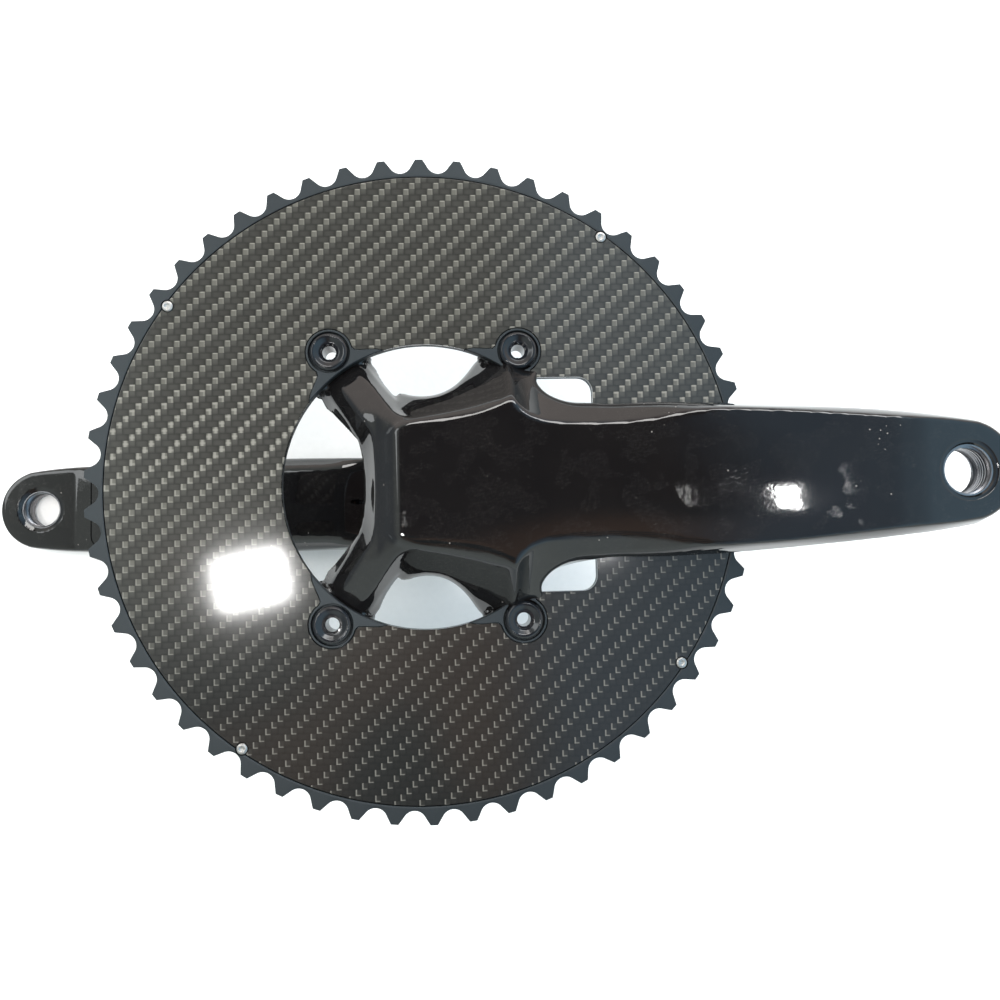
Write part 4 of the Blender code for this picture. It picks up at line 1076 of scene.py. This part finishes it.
def rightArmMesh():
    mesh = skinMesh(*skinOf(rightArmField(), (-42, -56, 34.5), (188.5, 56, 73.5), arm["grain"]))
    shoulder = lathe([(0, arm["shoulder"]), (arm["shoulderRadius"] - 0.3, arm["shoulder"]),
                      (arm["shoulderRadius"], arm["shoulder"] + 0.3), (arm["shoulderRadius"], 50), (0, 50)],
                      96)
    mesh = combined(mesh, [shoulder], "UNION", "MANIFOLD")
    socket = [(0, 53.5), (12.3, 53.5), (12.3, 45.6), (13.2, 44.6), (13.2, 43), (0, 43)]
    loop = coverLoop(rightHalfWidth, coverSize["start"], coverSize["end"], 0.0)
    rebate = prism(loop, -3.0, coverSize["depth"] + 0.2, slope=rightBack)
    cutters = [lathe(socket, 96), pedalCutter(), rebate]
    hole = [(0, 52), (5.3, 52), (5.3, spider["tabBack"] + 0.3), (6.3, spider["tabBack"] - 0.8),
            (0, spider["tabBack"] - 0.8)]
    cutters += [moved(lathe(hole, 48), at(*polar(55, angle))) for angle in boltAngles]
    return combined(mesh, cutters, "DIFFERENCE", "MANIFOLD")


def coverMesh(halfWidth, backOf, start):
    loop = coverLoop(halfWidth, start, coverSize["end"], coverSize["groove"])
    return prism(loop, 0.0, coverSize["depth"], edge=0.3, slope=backOf)


keepPiece("crank_arm_right", crisp(rightArmMesh(), 38), gloss, "crank", "gloss_black_alloy", "right_arm")
rightCover = coverMesh(rightHalfWidth, rightBack, coverSize["start"])
keepPiece("back_cover_right", crisp(rightCover, 30), gloss, "crank", "gloss_black_alloy", "right_arm_cover")


turnOver = Matrix.Rotation(math.pi, 4, "Y")
clamp = {
    "hubRadius": 19.5, "hubFace": 66.0, "bore": 12.3, "boreFloor": 62.0, "capSeat": 13.2, "slot": 2.2,
    "slotEnd": 34.5,
    "slotTop": 61.0, "boltPlaces": [(18.5, 1), (30.0, -1)], "boltHeight": 53.0, "boltHole": 3.3, "seat": 12.4,
    "counterbore": 5.2, "head": 4.6, "headStart": 13.8, "headEnd": 18.8, "shank": 3.0, "hex": 2.9,
    "hexDepth": 3.0,
    "end": 15.5, "washerLow": 12.7, "washerHigh": 13.5,
}


def leftHalfWidth(x):
    return through([(0, 19.2), (38, 20.3), (66, 20.6), (95, 20.6), (125, 20.0), (155, 19.0), (165, 18.2),
                    (170, 17.5)], x)


def leftBack(x):
    return arm["hubBack"] + 0.3 + (arm["pedalBack"] - arm["hubBack"] - 0.3) * np.clip((x - 38) / 117.0, 0, 1)


def leftArmField():
    low, high = (-24.0, -30.0), (192.0, 30.0)
    half = arcPoints(arm["pedalAxis"], 0, arm["endRadius"], 0, 80, 8)
    half += [(x, float(leftHalfWidth(x))) for x in (160, 140, 120, 100, 80, 60, 40, 24, 12)]
    half += arcPoints(0, 0, clamp["hubRadius"], 80, 180, 10)
    loop = roundedLoop(mirrorLoop(half))
    edge = Plan(low, high, lambda x, y: outlineDistance(loop, x, y))

    def field(x, y, z):
        top = through([(-30, 65.6), (30, 65.7), (60, 66.6), (100, 69.2), (140, 72.2), (156, 73.0),
                       (192, 73.0)], x)
        seat = smoothStep(138, 160, x)
        top = top - y * y / 420.0 * smoothStep(18, 50, x) * (1 - seat)
        facet = top - (np.abs(y) - 15.0) * 0.75
        top = smoothMin(top, facet, 2.0)
        out = edge(x, y)
        shoulderRound = smoothStep(20, 48, x) * (1 - 0.75 * seat)
        flat = 13.2 + 1.5 * seat
        over = np.maximum(np.abs(y) - flat, 0.0)
        under = leftBack(x) + shoulderRound * over * over * 0.13
        waist = through([(0, 56.0), (60, 59.0), (150, 66.0), (192, 67.0)], x)
        side = out + 0.10 * np.abs(z - waist)
        solid = smoothMax((z - top) * 0.96, side, 2.2)
        return smoothMax(solid, (under - z) * 0.9, 1.2)

    return field


def leftArmMesh():
    c = clamp
    mesh = skinMesh(*skinOf(leftArmField(), (-20.5, -22, 44.5), (188.5, 22, 73.5), arm["grain"]))
    shoulder = lathe([(0, 45.0), (15.2, 45.0), (15.5, 45.3), (15.5, 50), (0, 50)], 96)
    mesh = combined(mesh, [shoulder], "UNION", "MANIFOLD")
    bore = [(0, 43), (13.1, 43), (13.1, 44.8), (c["bore"], 45.6), (c["bore"], c["boreFloor"]),
            (c["capSeat"], c["boreFloor"]), (c["capSeat"], c["hubFace"] - 0.8),
            (c["capSeat"] + 1.2, c["hubFace"] + 0.6),
            (c["capSeat"] + 1.2, c["hubFace"] + 2), (0, c["hubFace"] + 2)]
    half = c["slot"] / 2
    slot = prism([(8, -half), (c["slotEnd"] - 1, -half), (c["slotEnd"], 0), (c["slotEnd"] - 1, half),
                  (8, half)], 44, c["slotTop"])
    rebate = prism(coverLoop(leftHalfWidth, coverSize["leftStart"], coverSize["end"], 0.0), -3.0,
                   coverSize["depth"] + 0.2, slope=leftBack)
    cutters = [lathe(bore, 96), slot, pedalCutter(), rebate]
    for x, side in c["boltPlaces"]:
        profile = [(0, -c["end"] - 0.1), (c["boltHole"], -c["end"] - 0.1), (c["boltHole"], c["seat"]),
                   (c["counterbore"], c["seat"]), (c["counterbore"], 24), (0, 24)]
        cutters.append(moved(lathe(profile, 48),
                             at(x, 0, c["boltHeight"]) @ Matrix.Rotation(-side * math.pi / 2, 4, "X")))
    return moved(combined(mesh, cutters, "DIFFERENCE", "MANIFOLD"), turnOver)


keepPiece("crank_arm_left", crisp(leftArmMesh(), 38), gloss, "crank", "gloss_black_alloy", "left_arm")
leftCover = moved(coverMesh(leftHalfWidth, leftBack, coverSize["leftStart"]), turnOver)
keepPiece("back_cover_left", crisp(leftCover, 30), gloss, "crank", "gloss_black_alloy", "left_arm_cover")


def makeClampBolts():
    c = clamp
    bolts, washers = [], []
    for x, side in c["boltPlaces"]:
        spot = turnOver @ at(x, 0, c["boltHeight"]) @ Matrix.Rotation(-side * math.pi / 2, 4, "X")
        profile = [(0, c["headEnd"]), (c["head"], c["headEnd"]), (c["head"], c["headStart"]),
                   (c["shank"], c["headStart"]),
                   (c["shank"], -c["end"]), (0, -c["end"])]
        head = lathe(eased(profile, 0.5, 3), 64)
        hexLoop = [polar(c["hex"], 60 * k) for k in range(6)]
        socket = prism(hexLoop, c["headEnd"] - c["hexDepth"], c["headEnd"], flare=0.2)
        bolts.append(moved(combined(head, [socket], "DIFFERENCE"), spot))
        ringProfile = [(c["shank"] + 0.3, c["washerLow"]), (c["head"], c["washerLow"]),
                       (c["head"], c["washerHigh"]),
                       (c["shank"] + 0.3, c["washerHigh"])]
        washers.append(moved(lathe(eased([ringProfile[-1]] + ringProfile, 0.12, 1)[1:], 64, closed=True),
                             spot))
    keepPiece("clamp_bolts", crisp(joined(bolts), 35), blackSteel, "crank", "black_steel", "clamp_bolt_1",
              "clamp_bolt_2")
    keepPiece("clamp_washers", crisp(joined(washers), 35), steel, "crank", "spindle_steel", "clamp_washer_1",
              "clamp_washer_2")


makeClampBolts()


tube = {"radius": 12.0, "bore": 9.5, "splineRoot": 11.2, "splineStart": -43.0, "end": -60.0, "top": 53.2,
        "splines": 16,
        "windowStart": -45.3, "windowEnd": -49.6, "windowHalf": 1.19}


def makeSpindle():
    t = tube
    profile = [(t["bore"], t["top"]), (t["radius"], t["top"]), (t["radius"], t["splineStart"]),
               (t["splineRoot"], t["splineStart"] - 0.8), (t["splineRoot"], t["end"]), (t["bore"], t["end"])]
    body = lathe(eased([profile[-1]] + profile, 0.4, 2)[1:], 128, closed=True)
    near, far, half = t["bore"] - 2, t["radius"] + 1, t["windowHalf"]
    window = prism([(-near, -half), (-far, -half), (-far, half), (-near, half)], t["windowEnd"],
                   t["windowStart"])
    body = crisp(combined(body, [window], "DIFFERENCE"), 35)
    # one spline: a flat-topped ridge with leaning flanks, its ends run out
    length = (t["splineStart"] - 0.7, t["end"] + 0.3)
    rows = [(length[0], 0.0), (length[0] - 1.2, 0.8), (length[1] + 0.8, 0.8), (length[1], 0.3)]
    rings = []
    for z, rise in rows:
        outer = t["splineRoot"] + rise
        rings.append([(t["splineRoot"] - 0.3, -1.6, z), (outer, -0.98, z), (outer, 0.98, z),
                      (t["splineRoot"] - 0.3, 1.6, z)])
    ridges = repeatRound(stack(rings), steel, t["splines"], 0.0, 11.25, 22.5, 45)
    keepPiece("hollow_spindle", joined([body, crisp(ridges, 25)]), steel, "crank", "spindle_steel", "spindle")


makeSpindle()


cap = {"flange": 12.9, "top": 64.5, "seat": 62.3, "shank": 9.2, "end": 54.3, "socket": 5.7, "lobe": 0.5,
       "lobes": 8,
       "depth": 6.5}


def makeCap():
    c = cap
    profile = [(0, c["top"]), (7.2, c["top"]), (7.6, c["top"] - 0.5), (10.4, c["top"] - 0.5),
               (10.8, c["top"]),
               (c["flange"] - 0.1, c["top"]), (c["flange"], c["top"] - 0.9), (c["flange"], c["seat"])]
    shank = [(c["shank"], c["seat"]), (c["shank"], c["seat"] - 1.2), (c["shank"] - 0.5, c["seat"] - 1.6)]
    for k in range(5):
        low = c["seat"] - 1.9 - k * 1.15
        shank += [(c["shank"], low), (c["shank"] - 0.5, low - 0.58)]
    shank += [(c["shank"] - 0.6, c["end"] + 0.3), (c["shank"] - 1.0, c["end"]), (0, c["end"])]
    body = lathe(eased(profile, 0.25, 2)[:-1] + [profile[-1]] + shank, 96)
    socket = prism(lobedLoop(c["socket"] + c["lobe"], c["lobe"], c["lobes"]), c["top"] - c["depth"],
                   c["top"], flare=0.25)
    body = combined(body, [socket], "DIFFERENCE")
    keepPiece("preload_cap_moulded", crisp(moved(body, turnOver), 32), plastic, "cap", "black_plastic",
              "preload_cap")


makeCap()


stopper = {"x": 18.5, "height": 53.0, "half": 0.8, "hub": 4.9, "hole": 3.3}


def makeStopper():
    s = stopper
    loop = [(-5.4, -4.3), (-8.1, -4.5), (-8.1, -6.1), (-7.3, -6.5), (-3.8, -6.3), (-2.4, -4.9), (1.5, -4.9),
            (3.4, -7.2), (5.6, -7.2), (6.4, -5.4)] + arcPoints(0, 0, s["hub"], -20, 190, 28)
    plate = prism(loop, -s["half"], s["half"], edge=0.22)
    plate = combined(plate, [prism(arcPoints(0, 0, s["hole"], 0, 350, 36), -s["half"], s["half"],
                                   flare=0.12)], "DIFFERENCE")
    stand = turnOver @ at(s["x"], 0, s["height"]) @ Matrix.Rotation(math.pi / 2, 4, "X")
    keepPiece("stopper_moulded", crisp(moved(plate, stand), 30), plastic, "stopper", "black_plastic",
              "stopper_plate")


makeStopper()


thread = {"sleeveInner": 7.75, "sleeveOuter": 8.1, "crest": 7.15, "pitch": 1.27, "ridge": 0.5, "low": 60.9,
          "high": 72.1}


def windThread(sheet, wires):
    # a ridge wound up the inside of the sleeve
    turns = wires["Height"] / wires["Pitch"]
    line = sheet.add("GeometryNodeCurveSpiral", None,
                     {"Resolution": 60, "Rotations": turns, "Start Radius": wires["Radius"],
                      "End Radius": wires["Radius"], "Height": wires["Height"]})
    placed = sheet.add("GeometryNodeTransform", None,
                       {0: line, "Translation": sheet.vector(0.0, 0.0, wires["Base"])})
    profile = sheet.add("GeometryNodeCurvePrimitiveCircle", None, {"Resolution": 4, "Radius": wires["Ridge"]})
    ridge = sheet.add("GeometryNodeCurveToMesh", None, {0: placed, 1: profile, "Fill Caps": True})
    both = sheet.tree.nodes.new("GeometryNodeJoinGeometry")
    sheet.tree.links.new(ridge.socket, both.inputs[0])
    sheet.tree.links.new(wires["Geometry"].socket, both.inputs[0])
    return Wire(sheet, both.outputs[0])


def makeThreads():
    t = thread
    tree = growTree("wound_thread", {"Height": 0.01, "Pitch": 0.00127, "Radius": 0.0076, "Ridge": 0.0005,
                                     "Base": 0.06},
                    windThread)
    for name, turn in (("pedal_thread_right", Matrix()), ("pedal_thread_left", turnOver)):
        profile = [(t["sleeveInner"], t["high"]), (t["sleeveOuter"], t["high"]), (t["sleeveOuter"], t["low"]),
                   (t["sleeveInner"], t["low"])]
        sleeve = lathe(profile, 96, closed=True)
        mesh = runTree(tree, sleeve, threadMetal,
                       {"Height": (t["high"] - t["low"] - 1.4) * mm, "Pitch": t["pitch"] * mm,
                        "Radius": (t["crest"] + t["ridge"]) * mm, "Ridge": t["ridge"] * mm,
                        "Base": (t["low"] + 0.7) * mm})
        mesh = moved(mesh, turn @ at(arm["pedalAxis"], 0))
        keepPiece(name, crisp(mesh, 40), threadMetal, "crank", "spindle_steel")


makeThreads()


view = {"place": (5.3722 * mm, -21.1446 * mm, 341.4113 * mm), "turn": (-0.0543, 0.0634, 0.0206),
        "lens": 32.137}


def makeCamera():
    data = bpy.data.cameras.new("camera")
    data.lens = view["lens"]
    data.sensor_width = 36.0
    data.clip_start = 0.01
    camera = bpy.data.objects.new("camera", data)
    bpy.context.scene.collection.objects.link(camera)
    turn = Vector(view["turn"])
    camera.matrix_world = Matrix.Translation(view["place"]) @ Matrix.Rotation(-turn.length, 4,
                                                                              turn.normalized())
    bpy.context.scene.camera = camera


def clothFloor(sheet, place):
    dots = sheet.add("ShaderNodeTexVoronoi", {"feature": "F1"}, {"Vector": place, "Scale": 620.0})
    fuzz = sheet.noise(place, 400.0, 3.0)
    return {"Base Color": sheet.mix(fuzz, (0.84, 0.84, 0.835, 1), (0.90, 0.90, 0.895, 1)),
            "Normal": sheet.bump(dots + fuzz, 0.00003)}


def makeFloor():
    size, drop = 2.5, -73.2 * mm              # just under the lower arm's pedal face
    data = bpy.data.meshes.new("floor")
    data.from_pydata([(-size, -size, drop), (size, -size, drop), (size, size, drop), (-size, size, drop)], [],
                     [(0, 1, 2, 3)])
    floor = bpy.data.objects.new("floor", data)
    bpy.context.scene.collection.objects.link(floor)
    data.materials.append(finish("floor_cloth", clothFloor, Roughness=0.9))


def areaLight(name, direction, distance, size, power, color, mirrored=True):
    # a soft lamp in a direction from the crankset, facing it
    place = Vector(direction).normalized() * distance
    data = bpy.data.lights.new(name, "AREA")
    data.shape = "RECTANGLE"
    data.size, data.size_y = size
    data.energy = power
    data.color = color
    lamp = bpy.data.objects.new(name, data)
    bpy.context.scene.collection.objects.link(lamp)
    lamp.location = place
    lamp.rotation_euler = (-place).to_track_quat("-Z", "Y").to_euler()
    lamp.visible_glossy = mirrored


room = {
    "tealPatch": (0.07, 0.10, 0.11, 1), "brownPatch": (0.42, 0.26, 0.18, 1),
    "shade": (0.055, 0.042, 0.040, 1),
    "blue": (0.36, 0.50, 0.66, 1), "blueEdge": (0.75, 1.20, 1.55, 1), "paleEdge": (0.84, 0.92, 0.88, 1),
    "lowerWall": (1.05, 1.18, 1.16, 1), "upperWall": (1.42, 1.28, 1.20, 1), "sideWall": (0.42, 0.48, 0.52, 1),
}


def makeRoom():
    # dark ceiling with brown and blue patches, bluer to one side; bright walls
    world = bpy.data.worlds.new("room")
    bpy.context.scene.world = world
    world.use_nodes = True
    sheet = Sheet(world.node_tree)
    x, y, z = sheet.split(sheet.add("ShaderNodeTexCoord", None, None, "Generated"))
    above = z.math("MAXIMUM", 0.05)
    east, north = x / above, y / above
    patch = sheet.ease(sheet.noise(sheet.vector(east, north, 0.0), 4.2, 1.0), 0.40, 0.60)
    ceiling = sheet.mix(patch, room["tealPatch"], room["brownPatch"])
    ceiling = sheet.mix(sheet.ease(north, -0.06, 0.04), ceiling, room["shade"])
    ceiling = sheet.mix(sheet.ease(east + patch * 0.03, 0.07, 0.18), ceiling, room["blue"])
    ceiling = sheet.mix(sheet.ease(east, 0.16, 0.72), ceiling, room["blueEdge"])
    ceiling = sheet.mix(sheet.ease(-east, 0.25, 0.50), ceiling, room["paleEdge"])
    walls = sheet.mix((y * 0.8 + 0.5).math("MINIMUM", 1.0), room["lowerWall"], room["upperWall"])
    walls = sheet.mix(sheet.ease(-x, 0.55, 0.90), walls, room["sideWall"])
    color = sheet.mix(sheet.ease(z, 0.15, 0.70), walls, ceiling)
    back = world.node_tree.nodes["Background"]
    world.node_tree.links.new(color.socket, back.inputs["Color"])
    back.inputs["Strength"].default_value = 1.0


makeCamera()
makeFloor()
makeRoom()
lampDistance, overheadDistance = 1.6, 1.7
tints = {
    "lamp": (1.0, 0.99, 0.97), "smallLamp": (1.0, 0.99, 0.98), "window": (1.0, 0.98, 0.95),
    "fill": (0.95, 0.98, 1.0), "overhead": (1.0, 0.965, 0.92),
}
areaLight("lamp", (-0.2425, -0.047, 1.0), lampDistance, (0.095, 0.13), 3.9, tints["lamp"])
areaLight("small_lamp", (0.210, 0.011, 1.0), lampDistance, (0.095, 0.032), 0.9, tints["smallLamp"])
areaLight("window", (0.15, 1.0, 0.9), lampDistance, (1.2, 0.4), 16.0, tints["window"])
areaLight("fill", (-0.9, 0.5, 1.0), lampDistance, (0.8, 0.8), 8.0, tints["fill"])
areaLight("overhead", (0.05, 0.02, 1.0), overheadDistance, (1.2, 1.2), 32.0, tints["overhead"],
          mirrored=False)
bpy.context.scene.view_settings.view_transform = "Standard"
